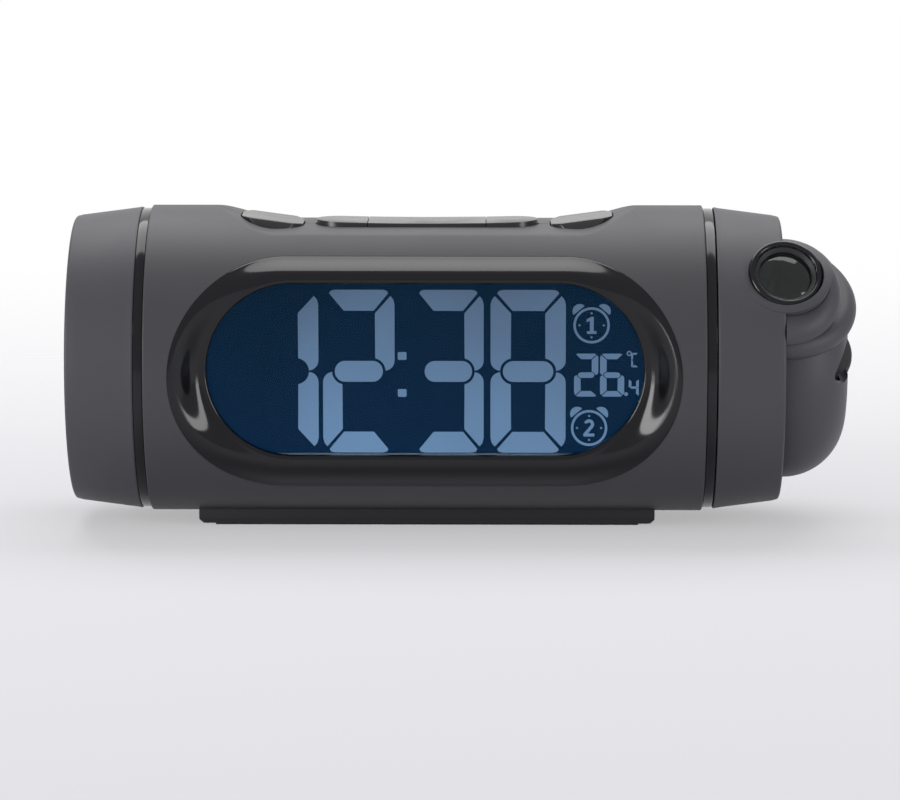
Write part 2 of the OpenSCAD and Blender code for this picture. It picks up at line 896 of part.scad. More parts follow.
// The slot that lets the focus wheel's rim out, with a finger hollow running to the front
module focus_slot() {
    on_optic() at_wheel() optic_rod(wheel_r + 0.7, wheel_s0 - 0.7, wheel_s1 + 0.7);
    slot_r = 2.1;
    low = [107.2, -1.3];
    high = [111.4, 7.6];
    for (p = [low, high]) translate([p[0], 0, p[1]]) rod_y(slot_r, -40, 6);
    lean = atan2(high[0] - low[0], high[1] - low[1]);
    translate([low[0], -40, low[1]]) rotate([0, lean, 0])
        block([-slot_r, 0, 0], [slot_r, 46, norm(high - low)]);
}

module projector_shell() color(black) lift() {
    boss_end = drum_x0 + 5;
    difference() {
        union() {
            difference() {
                union() {
                    drum_form(0, drum_x0);
                    ring_along_x(34.9, 28, drum_x0 - 2, drum_x0 + eps);
                }
                drum_form(drum_wall, drum_x0 - 5);
            }
            difference() {
                intersection() {
                    turret_form();
                    eye_form(1, cap_x + 0.05, cap_x + 40);
                }
                drum_form(drum_wall, drum_x0 - 5);
            }
            // bosses for the screws that come through the cap's web
            at_drum_screws() rod_x(3, web_x1, boss_end);
        }
        // the collar and the lens guide stand in the turret
        on_optic() optic_rod(collar_r + 0.15, 10, 60);
        focus_slot();
        at_drum_screws() rod_x(1.15, web_x1 - 1, boss_end - 2);
    }
}

frame_low = 6.5;

module projector_frame() color("#2a2a2c") lift() on_optic() {
    arm_h = 4;
    arm_low = frame_low + 0.4;
    difference() {
        union() {
            optic_rod(9.9, frame_low, guide_low);
            rotate([0, 0, wheel_turn]) translate([0, -3, arm_low]) cube([wheel_x - 1, 6, arm_h]);
            at_wheel() optic_rod(3.6, arm_low, arm_low + arm_h);
        }
        optic_rod(guide_r, 16, guide_low + 1);
        optic_rod(7.2, frame_low - 1, 16.5);
        at_wheel() optic_rod(spindle_r + 0.05, frame_low - 1, arm_low + arm_h + 1);
        // slot for the barrel's lug
        rotate([0, 0, wheel_turn]) translate([0, -3.4, 17.2]) cube([20, 6.8, 10]);
    }
}

module projector_led_board() color(board_green) lift() on_optic() {
    optic_rod(6.9, 6.7, 7.9);
    translate([-1.75, -1.75, 7.9]) cube([3.5, 3.5, 1]);
}

module condenser_lens() color("#e6eef4") lift() on_optic() {
    lens_ball = 9;
    intersection() {
        optic_rod(7.1, 9.4, 13);
        translate([0, 0, 13.4 - lens_ball]) sphere(r = lens_ball);
    }
}

module projector_lcd() color("#8a90a0") lift() on_optic() {
    translate([-5, -4.4, 13.8]) cube([10, 8.8, 1.2]);
}

module projector_screws() color(metal) lift() {
    at_drum_screws() along_x(web_x0) pan_screw(1.1, 14, 2.2, 1.3);
}

module lens_bezel() color(gloss) lift() on_optic() {
    top = lens_reach;
    round_r = 0.8;
    bore = 8;
    difference() {
        union() {
            optic_rod(lens_bezel_r, seat_s, top - round_r);
            optic_rod(lens_bezel_r - round_r, seat_s, top);
            translate([0, 0, top - round_r]) rotate_extrude()
                translate([lens_bezel_r - round_r, 0]) circle(r = round_r);
            optic_rod(8.9, seat_s - 2.4, seat_s + 1);
        }
        optic_rod(bore, seat_s - 5, top + 1);
        translate([0, 0, top - 1]) cylinder(r1 = bore, r2 = bore + 0.4, h = 1.01);
    }
}

barrel_low = 17.4;
barrel_top = 37.5;
lens_seat = 33;
lens_r = 6.9;

module lens_barrel() color("#18181a") lift() on_optic() {
    lug_s0 = 19;
    difference() {
        union() {
            optic_rod(7.9, barrel_low, barrel_top);
            rotate([0, 0, wheel_turn]) translate([0, -2.5, lug_s0]) cube([wheel_x - 1, 5, 3]);
            at_wheel() optic_rod(3, lug_s0, lug_s0 + 3);
        }
        optic_rod(6.2, barrel_low - 1, lens_seat + 1);
        optic_rod(lens_r, lens_seat, barrel_top + 1);
        translate([0, 0, 36.6]) cylinder(r1 = lens_r, r2 = 7.8, h = barrel_top - 36.6 + eps);
        at_wheel() optic_rod(spindle_r + 0.05, lug_s0 - 1, lug_s0 + 4);
    }
}

module projection_lens() color("#dfe6ee") lift() on_optic() {
    ball = 16;
    intersection() {
        optic_rod(lens_r - 0.05, lens_seat, 38);
        translate([0, 0, 38.1 - ball]) sphere(r = ball);
    }
}

module focus_wheel() color("#3c3c40") lift() on_optic() at_wheel() {
    bevel = 0.5;
    optic_rod(wheel_r - bevel, wheel_s0, wheel_s1);
    optic_rod(wheel_r, wheel_s0 + bevel, wheel_s1 - bevel);
    translate([0, 0, wheel_s0]) cylinder(r1 = wheel_r - bevel, r2 = wheel_r, h = bevel + eps);
    translate([0, 0, wheel_s1 - bevel - eps]) cylinder(r1 = wheel_r, r2 = wheel_r - bevel, h = bevel + eps);
    optic_rod(spindle_r, wheel_s1 - eps, 23);
}

front_shell();
rear_shell();
display_bezel();
display_window();
lcd_panel();
light_guide();
lcd_frame();
main_board();
top_key_board();
rear_key_board();
left_trim_ring();
right_trim_ring();
left_cap();
speaker_grille();
speaker();
base_foot();
foot_pad();
battery_door();
battery_box();
battery_cells();
battery_contacts();
power_jack();
housing_screws();
foot_screws();
swivel_bearing();
left_outer_key();
left_inner_key();
snooze_bar();
right_inner_key();
right_outer_key();
time_key();
alarm_key();
up_key();
down_key();
right_cap();
friction_washer();
retaining_clip();
projector_shell();
projector_frame();
projector_led_board();
condenser_lens();
projector_lcd();
projector_screws();
lens_bezel();
lens_barrel();
projection_lens();
focus_wheel();
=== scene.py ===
import math

import bmesh
import bpy
from mathutils import Matrix, Vector


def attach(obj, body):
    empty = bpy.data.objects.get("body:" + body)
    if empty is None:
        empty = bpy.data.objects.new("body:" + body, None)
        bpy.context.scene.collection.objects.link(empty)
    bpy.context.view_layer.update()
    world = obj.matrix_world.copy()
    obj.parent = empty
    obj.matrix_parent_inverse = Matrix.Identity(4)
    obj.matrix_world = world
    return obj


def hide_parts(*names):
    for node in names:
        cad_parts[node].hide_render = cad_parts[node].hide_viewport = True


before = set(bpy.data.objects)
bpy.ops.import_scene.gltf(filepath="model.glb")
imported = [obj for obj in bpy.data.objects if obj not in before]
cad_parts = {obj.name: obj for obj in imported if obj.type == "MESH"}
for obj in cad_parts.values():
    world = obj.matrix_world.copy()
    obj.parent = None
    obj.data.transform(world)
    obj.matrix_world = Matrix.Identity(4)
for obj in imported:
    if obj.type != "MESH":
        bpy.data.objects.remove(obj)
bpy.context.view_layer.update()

# Every piece is modelled in millimetres about the casing's axis, its front at -y, and placed by toWorld
axisHeight = 43.0
millimetre = 0.001
mergeDistance = 1e-4
toWorld = Matrix.Scale(millimetre, 4) @ Matrix.Translation((0, 0, axisHeight))
upright = Matrix.Identity(4)
alongX = Matrix(((0, 0, 1, 0), (0, -1, 0, 0), (1, 0, 0, 0), (0, 0, 0, 1)))  # local z points to the right end
alongY = Matrix(((1, 0, 0, 0), (0, 0, -1, 0), (0, 1, 0, 0), (0, 0, 0, 1)))  # local z points to the front
backwards = Matrix.Rotation(math.pi, 4, "Z") @ alongY  # local z points to the rear
flipped = Matrix.Scale(-1, 4, (1, 0, 0))  # right end to left end


def smoothStep(low, high, value):
    t = min(max((value - low) / (high - low), 0.0), 1.0)
    return t * t * (3 - 2 * t)


def arcPoints(centre, radius, start, stop, steps):
    angles = [math.radians(start + (stop - start) * i / steps) for i in range(steps + 1)]
    return [(centre[0] + radius * math.cos(a), centre[1] + radius * math.sin(a)) for a in angles]


# Turns a profile of (radius, distance along the axis) points about the local z axis
def spinProfile(profile, place, steps=160, closed=True):
    bm = bmesh.new()
    row = [bm.verts.new((radius, 0, along)) for radius, along in profile]
    edges = [bm.edges.new(pair) for pair in zip(row, row[1:])]
    if closed:
        edges.append(bm.edges.new((row[-1], row[0])))
    bmesh.ops.spin(bm, geom=row + edges, cent=(0, 0, 0), axis=(0, 0, 1), angle=math.tau,
                   steps=steps, use_merge=True, use_duplicate=False)
    bmesh.ops.remove_doubles(bm, verts=bm.verts, dist=mergeDistance)
    bmesh.ops.recalc_face_normals(bm, faces=bm.faces)
    bmesh.ops.transform(bm, matrix=place, verts=bm.verts)
    return bm


def rod(radius, low, high, place, steps=96):
    return spinProfile([(0, low), (radius, low), (radius, high), (0, high)], place, steps, closed=False)


# Raises an outline of (x, y) points into a solid between two heights on the local z axis
def extrudeOutline(points, low, high, place):
    bm = bmesh.new()
    face = bm.faces.new([bm.verts.new((x, y, low)) for x, y in points])
    grown = bmesh.ops.extrude_face_region(bm, geom=[face])
    top = [item for item in grown["geom"] if isinstance(item, bmesh.types.BMVert)]
    bmesh.ops.translate(bm, vec=(0, 0, high - low), verts=top)
    bmesh.ops.recalc_face_normals(bm, faces=bm.faces)
    bmesh.ops.transform(bm, matrix=place, verts=bm.verts)
    return bm


def stadiumOutline(length, height, steps=48):
    radius = height / 2
    half = length / 2 - radius
    return arcPoints((half, 0), radius, -90, 90, steps) + arcPoints((-half, 0), radius, 90, 270, steps)


def boxOutline(left, right, low, high):
    return [(left, low), (right, low), (right, high), (left, high)]


def scratchObject(bm):
    mesh = bpy.data.meshes.new("scratch")
    bm.to_mesh(mesh)
    bm.free()
    item = bpy.data.objects.new("scratch", mesh)
    bpy.context.scene.collection.objects.link(item)
    return item


def dropObject(item):
    mesh = item.data
    bpy.data.objects.remove(item)
    bpy.data.meshes.remove(mesh)


# Joins, cuts or intersects the base with each (operation, shape) pair in turn
def combine(base, pairs):
    baseItem = scratchObject(base)
    tools = []
    for operation, shape in pairs:
        tool = scratchObject(shape)
        tools.append(tool)
        modifier = baseItem.modifiers.new("combine", "BOOLEAN")
        modifier.operation = operation
        modifier.solver = "EXACT"
        modifier.object = tool
    bpy.context.view_layer.update()
    finished = baseItem.evaluated_get(bpy.context.evaluated_depsgraph_get())
    result = bmesh.new()
    result.from_mesh(finished.to_mesh())
    finished.to_mesh_clear()
    for item in [baseItem] + tools:
        dropObject(item)
    bmesh.ops.remove_doubles(result, verts=result.verts, dist=mergeDistance)
    return result


def appendShape(bm, shape):
    mesh = bpy.data.meshes.new("scratch")
    shape.to_mesh(mesh)
    shape.free()
    bm.from_mesh(mesh)
    bpy.data.meshes.remove(mesh)


frameCopy = {"mergeDistance": 1e-3, "flatAngle": 0.6}


# A working copy of a frame part's mesh, with its flat triangles merged back into faces
def cadCopy(node):
    bm = bmesh.new()
    bm.from_mesh(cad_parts[node].data)
    bmesh.ops.transform(bm, matrix=toWorld.inverted(), verts=bm.verts)
    bmesh.ops.remove_doubles(bm, verts=bm.verts, dist=frameCopy["mergeDistance"])
    bmesh.ops.dissolve_limit(bm, angle_limit=math.radians(frameCopy["flatAngle"]), verts=bm.verts,
                             edges=bm.edges, use_dissolve_boundaries=False)
    return bm


def softenEdges(bm, width, angle=30, segments=2):
    edges = [e for e in bm.edges if len(e.link_faces) == 2 and e.calc_face_angle() > math.radians(angle)]
    bmesh.ops.bevel(bm, geom=edges, offset=width, offset_type="OFFSET", segments=segments, profile=0.5,
                    affect="EDGES", clamp_overlap=True, material=-1)


def makePiece(name, bm, material, body, replaced=(), smoothAngle=28):
    bmesh.ops.transform(bm, matrix=toWorld, verts=bm.verts)
    mesh = bpy.data.meshes.new(name)
    bm.to_mesh(mesh)
    bm.free()
    mesh.materials.append(material)
    mesh.shade_smooth()
    mesh.set_sharp_from_angle(angle=math.radians(smoothAngle))
    piece = bpy.data.objects.new(name, mesh)
    bpy.context.scene.collection.objects.link(piece)
    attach(piece, body)
    if replaced:
        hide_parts(*replaced)


def linearColour(hexColour):
    channels = [int(hexColour[i:i + 2], 16) / 255 for i in (1, 3, 5)]
    return [c / 12.92 if c <= 0.04045 else ((c + 0.055) / 1.055) ** 2.4 for c in channels] + [1.0]


# Noise and brick scales count repeats in a metre, so a size in millimetres is turned into that
def perMetre(sizeInMillimetres):
    return 1.0 / (sizeInMillimetres * millimetre)


def addNode(tree, kind, inputs=None, **settings):
    node = tree.nodes.new("ShaderNode" + kind)
    for name, value in settings.items():
        setattr(node, name, value)
    for name, value in (inputs or {}).items():
        if isinstance(value, bpy.types.NodeSocket):
            tree.links.new(value, node.inputs[name])
        else:
            node.inputs[name].default_value = value
    return node


mixFactor, mixFirst, mixSecond, mixResult = 0, 6, 7, 2  # a colour Mix node's sockets


def newMaterial(name):
    material = bpy.data.materials.new(name)
    material.use_nodes = True
    material.node_tree.nodes.clear()
    return material, material.node_tree


def finishMaterial(tree, shader):
    addNode(tree, "OutputMaterial", {"Surface": shader})


plastic = {"shadeSpread": 0.06, "glossSpread": 0.03, "patchSize": 22.0, "ior": 1.53, "coatRoughness": 0.06}


# Injection-moulded plastic: the mould's spark-eroded grain breaks up the highlight, and slow patches
# of slightly different shade and gloss keep a large face from looking flat
def mouldedPlastic(name, colour, roughness, grain, grainDepth, coat=0.0):
    material, tree = newMaterial(name)
    place = addNode(tree, "TexCoord").outputs["Object"]
    grainNoise = addNode(tree, "TexNoise", {"Vector": place, "Scale": perMetre(grain), "Detail": 2.0,
                                            "Roughness": 0.6})
    patches = addNode(tree, "TexNoise", {"Vector": place, "Scale": perMetre(plastic["patchSize"]),
                                         "Detail": 3.0, "Roughness": 0.5})
    base = linearColour(colour)[:3]
    lighter = [min(c * (1 + plastic["shadeSpread"]), 1.0) for c in base] + [1.0]
    darker = [c * (1 - plastic["shadeSpread"]) for c in base] + [1.0]
    tone = addNode(tree, "Mix", {mixFactor: patches.outputs["Fac"], mixFirst: darker, mixSecond: lighter},
                   data_type="RGBA")
    gloss = addNode(tree, "MapRange", {"Value": patches.outputs["Fac"], "From Min": 0.3, "From Max": 0.7,
                                       "To Min": roughness - plastic["glossSpread"],
                                       "To Max": roughness + plastic["glossSpread"]})
    bump = addNode(tree, "Bump", {"Height": grainNoise.outputs["Fac"], "Strength": 1.0,
                                  "Distance": grainDepth * millimetre})
    shader = addNode(tree, "BsdfPrincipled", {"Base Color": tone.outputs[mixResult],
                                              "Roughness": gloss.outputs["Result"],
                                              "Normal": bump.outputs["Normal"], "IOR": plastic["ior"],
                                              "Coat Weight": coat,
                                              "Coat Roughness": plastic["coatRoughness"]})
    finishMaterial(tree, shader.outputs["BSDF"])
    return material


# Matt ABS casing: a faint, soft highlight on an almost smooth skin
casingPlastic = mouldedPlastic("mattBlackAbs", "#4b4a4d", 0.5, 0.5, 0.012)
# Grained ABS caps and projector: the coarser grain breaks the highlight up
capPlastic = mouldedPlastic("grainedBlackAbs", "#4f4e52", 0.5, 0.55, 0.035)
# Satin ABS keys: fingers polish them, so they catch a clearer reflection than the casing
keyPlastic = mouldedPlastic("satinBlackAbs", "#3a393c", 0.24, 0.6, 0.006)
# Dark ABS foot and inner parts: plain and dull
darkPlastic = mouldedPlastic("darkGreyAbs", "#2d2d31", 0.5, 0.5, 0.02)
# Satin ABS focus wheel: a little lighter than the slot it stands in
wheelPlastic = mouldedPlastic("wheelGreyAbs", "#414144", 0.34, 0.8, 0.004)
# Polished piano-black ABS: clear reflections with only a trace of waviness
glossPlastic = mouldedPlastic("pianoBlackAbs", "#101012", 0.12, 9.0, 0.003)
# Polished ABS lens rim: a fine bright line round the lens
lensRimPlastic = mouldedPlastic("lensRimAbs", "#141416", 0.14, 6.0, 0.004)
# Natural white ABS frame: dull, and it sends the back light forward
whitePlastic = mouldedPlastic("whiteAbs", "#dcdcd8", 0.45, 0.5, 0.01)
# Vulcanised rubber pad: dull and very slightly uneven
rubber = mouldedPlastic("nitrileRubber", "#3a3a3d", 0.82, 0.4, 0.03)
# Printed film round the AAA cells: smooth, with a clear gloss over a dull metal grey
cellJacket = mouldedPlastic("wrappedCellJacket", "#8e9298", 0.25, 3.0, 0.003, coat=0.3)

steel = {"colour": "#b9bcc0", "roughness": 0.34, "spread": 0.08, "lineLength": 6.0, "lineWidth": 0.25,
         "lineDepth": 0.02}


# Zinc-plated steel: the drawn stock leaves fine lines that stretch the highlight
def platedSteel(name):
    material, tree = newMaterial(name)
    place = addNode(tree, "TexCoord").outputs["Object"]
    across = perMetre(steel["lineWidth"])
    scale = (perMetre(steel["lineLength"]), across, across)
    stretch = addNode(tree, "Mapping", {"Vector": place, "Scale": scale})
    lines = addNode(tree, "TexNoise", {"Vector": stretch.outputs["Vector"], "Scale": 1.0, "Detail": 2.0})
    gloss = addNode(tree, "MapRange", {"Value": lines.outputs["Fac"],
                                       "To Min": steel["roughness"] - steel["spread"],
                                       "To Max": steel["roughness"] + steel["spread"]})
    bump = addNode(tree, "Bump", {"Height": lines.outputs["Fac"], "Strength": 0.5,
                                  "Distance": steel["lineDepth"] * millimetre})
    shader = addNode(tree, "BsdfPrincipled", {"Base Color": linearColour(steel["colour"]), "Metallic": 1.0,
                                              "Roughness": gloss.outputs["Result"],
                                              "Normal": bump.outputs["Normal"]})
    finishMaterial(tree, shader.outputs["BSDF"])
    return material


zincPlatedSteel = platedSteel("zincPlatedSteel")

waves = {"size": 18.0, "strength": 0.2, "depth": 0.01}


# Clear moulded or ground material: a slow waviness bends its reflections a little
def clearMaterial(name, tint, roughness, ior):
    material, tree = newMaterial(name)
    place = addNode(tree, "TexCoord").outputs["Object"]
    waviness = addNode(tree, "TexNoise", {"Vector": place, "Scale": perMetre(waves["size"]), "Detail": 1.0})
    bump = addNode(tree, "Bump", {"Height": waviness.outputs["Fac"], "Strength": waves["strength"],
                                  "Distance": waves["depth"] * millimetre})
    shader = addNode(tree, "BsdfPrincipled", {"Base Color": linearColour(tint), "Roughness": roughness,
                                              "IOR": ior, "Transmission Weight": 1.0,
                                              "Normal": bump.outputs["Normal"]})
    finishMaterial(tree, shader.outputs["BSDF"])
    return material


# Tinted acrylic window with a matt coating that takes most of the reflection away, hence the low IOR
windowAcrylic = clearMaterial("tintedAcrylic", "#c9d3de", 0.01, 1.12)
# Ground glass lens: strong refraction turns the scene in it upside down
lensGlass = clearMaterial("groundLensGlass", "#8f9a94", 0.0, 1.52)
# Moulded acrylic light guide: clear, with a slightly clouded surface
guideAcrylic = clearMaterial("lightGuideAcrylic", "#dfe6ee", 0.08, 1.49)

glow = {"cloudSize": 45.0, "roughness": 0.4, "specular": 0.05}


# Back-lit liquid-crystal cell: it glows in one tint at its lower edge and another at its upper edge
def glowingSurface(name, lowTint, highTint, lowEdge, highEdge, base):
    material, tree = newMaterial(name)
    place = addNode(tree, "TexCoord").outputs["Object"]
    parts = addNode(tree, "SeparateXYZ", {"Vector": place})
    level = addNode(tree, "MapRange", {"Value": parts.outputs["Z"],
                                       "From Min": (axisHeight + lowEdge) * millimetre,
                                       "From Max": (axisHeight + highEdge) * millimetre})
    cloud = addNode(tree, "TexNoise", {"Vector": place, "Scale": perMetre(glow["cloudSize"]), "Detail": 1.0})
    shifted = addNode(tree, "Math", {0: level.outputs["Result"], 1: cloud.outputs["Fac"]}, operation="ADD")
    centred = addNode(tree, "Math", {0: shifted.outputs["Value"], 1: -0.5}, operation="ADD")
    tone = addNode(tree, "Mix", {mixFactor: centred.outputs["Value"], mixFirst: linearColour(lowTint),
                                 mixSecond: linearColour(highTint)}, data_type="RGBA")
    shader = addNode(tree, "BsdfPrincipled", {"Base Color": linearColour(base),
                                              "Roughness": glow["roughness"],
                                              "Specular IOR Level": glow["specular"],
                                              "Emission Color": tone.outputs[mixResult],
                                              "Emission Strength": 1.0})
    finishMaterial(tree, shader.outputs["BSDF"])
    return material


# Unlit ground of the negative cell: deep blue where a little of the back light leaks through
negativeCell = glowingSurface("negativeLcdCell", "#0a2c4a", "#062437", -22.0, 22.0, "#010203")
# Lit segments: pale blue, brightest near the lamp at the lower edge
litCell = glowingSurface("litLcdSegments", "#84a6c8", "#637286", -21.0, 22.0, "#0a0d12")

board = {"runLength": 6.0, "runGap": 0.03, "weave": 0.6, "weaveDepth": 0.02, "roughness": 0.35}


# Green solder mask over glass-epoxy: copper runs show as lighter lines over a faint woven ground
def maskedBoard(name):
    material, tree = newMaterial(name)
    place = addNode(tree, "TexCoord").outputs["Object"]
    runs = addNode(tree, "TexBrick", {"Vector": place, "Scale": perMetre(board["runLength"]),
                                      "Mortar Size": board["runGap"], "Color1": linearColour("#16502f"),
                                      "Color2": linearColour("#185733"), "Mortar": linearColour("#2c7a4a")})
    weave = addNode(tree, "TexNoise", {"Vector": place, "Scale": perMetre(board["weave"]), "Detail": 1.0})
    bump = addNode(tree, "Bump", {"Height": weave.outputs["Fac"], "Strength": 0.6,
                                  "Distance": board["weaveDepth"] * millimetre})
    shader = addNode(tree, "BsdfPrincipled", {"Base Color": runs.outputs["Color"],
                                              "Roughness": board["roughness"],
                                              "Normal": bump.outputs["Normal"]})
    finishMaterial(tree, shader.outputs["BSDF"])
    return material


solderMask = maskedBoard("greenSolderMask")
print("materials ready")

casing = {"radius": 40.0, "halfLength": 71.8, "wall": 2.2, "deckHeight": 35.4, "crown": 311.0,
          "flatHalf": 38.5, "blendRadius": 19.53, "slope": 21.0, "deckEdge": 0.35, "seamGroove": 0.16,
          "grooveHalf": 0.17, "endRound": 0.35, "deckReach": 0.3}
casingMesh = {"columns": 178, "deckRows": 18, "frontRows": 84, "endMargin": 1.2,
              "endSteps": [0.0, 0.03, 0.1, 0.2, 0.35, 0.7],  # millimetres from the end
              "seamSteps": [0.0, 0.12, 0.24, 0.4],  # degrees from the seam, and from the deck's edge
              "edgeSteps": [-1.6, -1.1, -0.7, -0.35, 0.0, 0.35, 0.7, 1.1, 1.6, 2.2]}
crownCentre = casing["deckHeight"] - casing["crown"]


# How far the deck's surface is from the centre of its crown, at x along the casing
def deckDistance(x):
    slope = math.radians(casing["slope"])
    beyond = abs(x) - casing["flatHalf"]
    blendLength = casing["blendRadius"] * math.sin(slope)
    if beyond <= 0:
        return casing["crown"]
    if beyond < blendLength:
        turn = math.asin(beyond / casing["blendRadius"])
        return casing["crown"] + casing["blendRadius"] * (1 - math.cos(turn))
    rise = casing["blendRadius"] * (1 - math.cos(slope))
    return casing["crown"] + rise + (beyond - blendLength) * math.tan(slope)


# The angle from the top at which the deck meets the round of the casing
def deckTurn(x):
    radius = casing["radius"]
    cosine = (radius * radius + crownCentre ** 2 - deckDistance(x) ** 2) / (2 * radius * crownCentre)
    return math.degrees(math.acos(cosine)) if cosine < 1 else 0.0


# The casing's radius is the lower of the round and the deck, with the edge between them eased
def casingRadius(x, turn):
    up = math.cos(math.radians(turn))
    if up <= casing["deckReach"]:  # well below the deck
        return casing["radius"]
    inside = (up * crownCentre) ** 2 - crownCentre ** 2 + deckDistance(x) ** 2
    deck = up * crownCentre + math.sqrt(inside)
    width = casing["deckEdge"]
    overlap = max(width - abs(casing["radius"] - deck), 0.0) / width
    return min(casing["radius"], deck) - overlap * overlap * width / 4


def casingColumns():
    half = casing["halfLength"]
    inner = half - casingMesh["endMargin"]
    count = casingMesh["columns"]
    middle = [-inner + 2 * inner * i / count for i in range(count + 1)]
    ends = casingMesh["endSteps"]
    return [-half + step for step in ends] + middle + [half - step for step in reversed(ends)]


# Angles from the top seam to the bottom seam, closer together at the seams and at the deck's edge
def casingRows(x):
    seam, edgeSteps = casingMesh["seamSteps"], casingMesh["edgeSteps"]
    edge = max(deckTurn(x), 5.0)
    deckSpan = edge - edgeSteps[-1] - seam[-1]
    deckRows = [seam[-1] + deckSpan * i / casingMesh["deckRows"]
                for i in range(1, casingMesh["deckRows"] + 1)]
    edgeRows = [edge + step for step in edgeSteps]
    frontSpan = 180 - seam[-1] - edgeRows[-1]
    frontRows = [edgeRows[-1] + frontSpan * i / casingMesh["frontRows"]
                 for i in range(1, casingMesh["frontRows"] + 1)]
    return seam + deckRows + edgeRows + frontRows + [180 - step for step in reversed(seam[:-1])]


# Side 1 is the front shell and -1 the rear: a grid is wrapped round the axis, and a copy of it
# pulled inwards by the wall is bridged to it all round
def casingHalf(side):
    columns = casingColumns()
    rowsAt = [casingRows(x) for x in columns]
    lastColumn, lastRow = len(columns) - 1, len(rowsAt[0]) - 1
    bm = bmesh.new()
    bmesh.ops.create_grid(bm, x_segments=lastColumn, y_segments=lastRow, size=0.5)
    for vert in bm.verts:
        column = round((vert.co.x + 0.5) * lastColumn)
        row = round((vert.co.y + 0.5) * lastRow)
        x = columns[column]
        turn = rowsAt[column][row]
        radius = casingRadius(x, turn)
        fromSeam = math.radians(min(turn, 180 - turn)) * casing["radius"]
        radius -= casing["seamGroove"] * max(1 - fromSeam / casing["grooveHalf"], 0.0)
        fromEnd = casing["halfLength"] - abs(x)
        if fromEnd < casing["endRound"]:
            inward = 1 - fromEnd / casing["endRound"]
            radius -= casing["endRound"] * (1 - math.sqrt(1 - inward * inward))
        angle = math.radians(turn)
        vert.co = (x, -side * radius * math.sin(angle), radius * math.cos(angle))
    bm.normal_update()
    bm.faces.ensure_lookup_table()
    middle = bm.faces[len(bm.faces) // 2]
    centre = middle.calc_center_median()
    if middle.normal.dot(Vector((0, centre.y, centre.z))) < 0:
        bmesh.ops.reverse_faces(bm, faces=bm.faces)
    copied = bmesh.ops.duplicate(bm, geom=bm.verts[:] + bm.edges[:] + bm.faces[:])["geom"]
    for vert in [item for item in copied if isinstance(item, bmesh.types.BMVert)]:
        shrink = 1 - casing["wall"] / math.hypot(vert.co.y, vert.co.z)
        vert.co = (vert.co.x, vert.co.y * shrink, vert.co.z * shrink)
    bmesh.ops.reverse_faces(bm, faces=[item for item in copied if isinstance(item, bmesh.types.BMFace)])
    bmesh.ops.bridge_loops(bm, edges=[edge for edge in bm.edges if edge.is_boundary])
    return bm


display = {"bezelLength": 131.0, "bezelHeight": 59.6, "lipLength": 113.4, "lipHeight": 45.9, "rise": 1.3,
           "windowLength": 111.8, "windowHeight": 44.3, "bezelRadius": 40.2, "lipDepth": 33.4,
           "holeGap": 0.16, "windowMargin": 1.2, "windowFront": 31.2, "windowThickness": 1.6}
topKeys = {"outerX": 40.3, "outerWidth": 16.0, "outerDepth": 23.0, "rowLength": 57.8, "rowDepth": 16.0,
           "gap": 0.3}
setKeys = {"places": [-30.0, -18.0, -6.0, 6.0], "down": 32.0, "hole": 3.8}
door = {"half": 26.3, "low": -27.1, "high": -4.9}
jackHole = {"x": 48, "z": -15, "radius": 4.4}
screwWell = {"x": 61, "z": 25, "radius": 3.0, "floor": 12}
cutOutside = {"top": 50, "side": 45}  # heights at which a cut is clear of the casing
cutInside = {"shallow": 30, "deep": 20}


def keyOpenings():
    gap = topKeys["gap"]
    low, high = cutInside["deep"], cutOutside["top"]
    row = stadiumOutline(topKeys["rowLength"] + 2 * gap, topKeys["rowDepth"] + 2 * gap)
    shapes = [extrudeOutline(row, low, high, upright)]
    for side in (-1, 1):
        place = Matrix.Translation((side * topKeys["outerX"], 0, 0)) @ Matrix.Rotation(math.pi / 2, 4, "Z")
        oval = stadiumOutline(topKeys["outerDepth"] + 2 * gap, topKeys["outerWidth"] + 2 * gap)
        shapes.append(extrudeOutline(oval, low, high, place))
    return shapes


def bezelOpening():
    gap = display["holeGap"]
    outline = stadiumOutline(display["bezelLength"] + gap, display["bezelHeight"] + gap)
    return extrudeOutline(outline, cutInside["deep"], cutOutside["side"], alongY)


def rearOpenings():
    doorOutline = boxOutline(-door["half"], door["half"], cutInside["deep"], cutOutside["side"])
    shapes = [extrudeOutline(doorOutline, door["low"], door["high"], upright)]
    for x in setKeys["places"]:
        place = Matrix.Translation((x, 0, 0)) @ Matrix.Rotation(math.radians(setKeys["down"] - 90), 4, "X")
        shapes.append(rod(setKeys["hole"], cutInside["shallow"], cutOutside["side"], place, 48))
    jackPlace = Matrix.Translation((jackHole["x"], 0, jackHole["z"])) @ backwards
    shapes.append(rod(jackHole["radius"], cutInside["shallow"], cutOutside["side"], jackPlace, 48))
    for x in (-screwWell["x"], screwWell["x"]):
        for z in (-screwWell["z"], screwWell["z"]):
            place = Matrix.Translation((x, 0, z)) @ backwards
            shapes.append(rod(screwWell["radius"], screwWell["floor"], cutOutside["side"], place, 40))
    return shapes


front = combine(casingHalf(1), [("DIFFERENCE", shape) for shape in [bezelOpening()] + keyOpenings()])
makePiece("casingFront", front, casingPlastic, "clock", ["front_shell"])
rear = combine(casingHalf(-1), [("DIFFERENCE", shape) for shape in keyOpenings() + rearOpenings()])
makePiece("casingRear", rear, casingPlastic, "clock", ["rear_shell"])
print("casing ready")

bezelMesh = {"steps": 192, "faceRows": 22,
             "wall": [2.6, 0.25, 0.08],  # depths below the bezel's round
             "faceEdge": [(0.008, 0.1), (0.03, 0.0)],  # shares of the way in, and how far that row is sunk
             "rim": [(0.35, 33.32), (0.75, 33.1), (1.0, 32.6), (1.0, 31.2)]}  # shares to the opening, depths


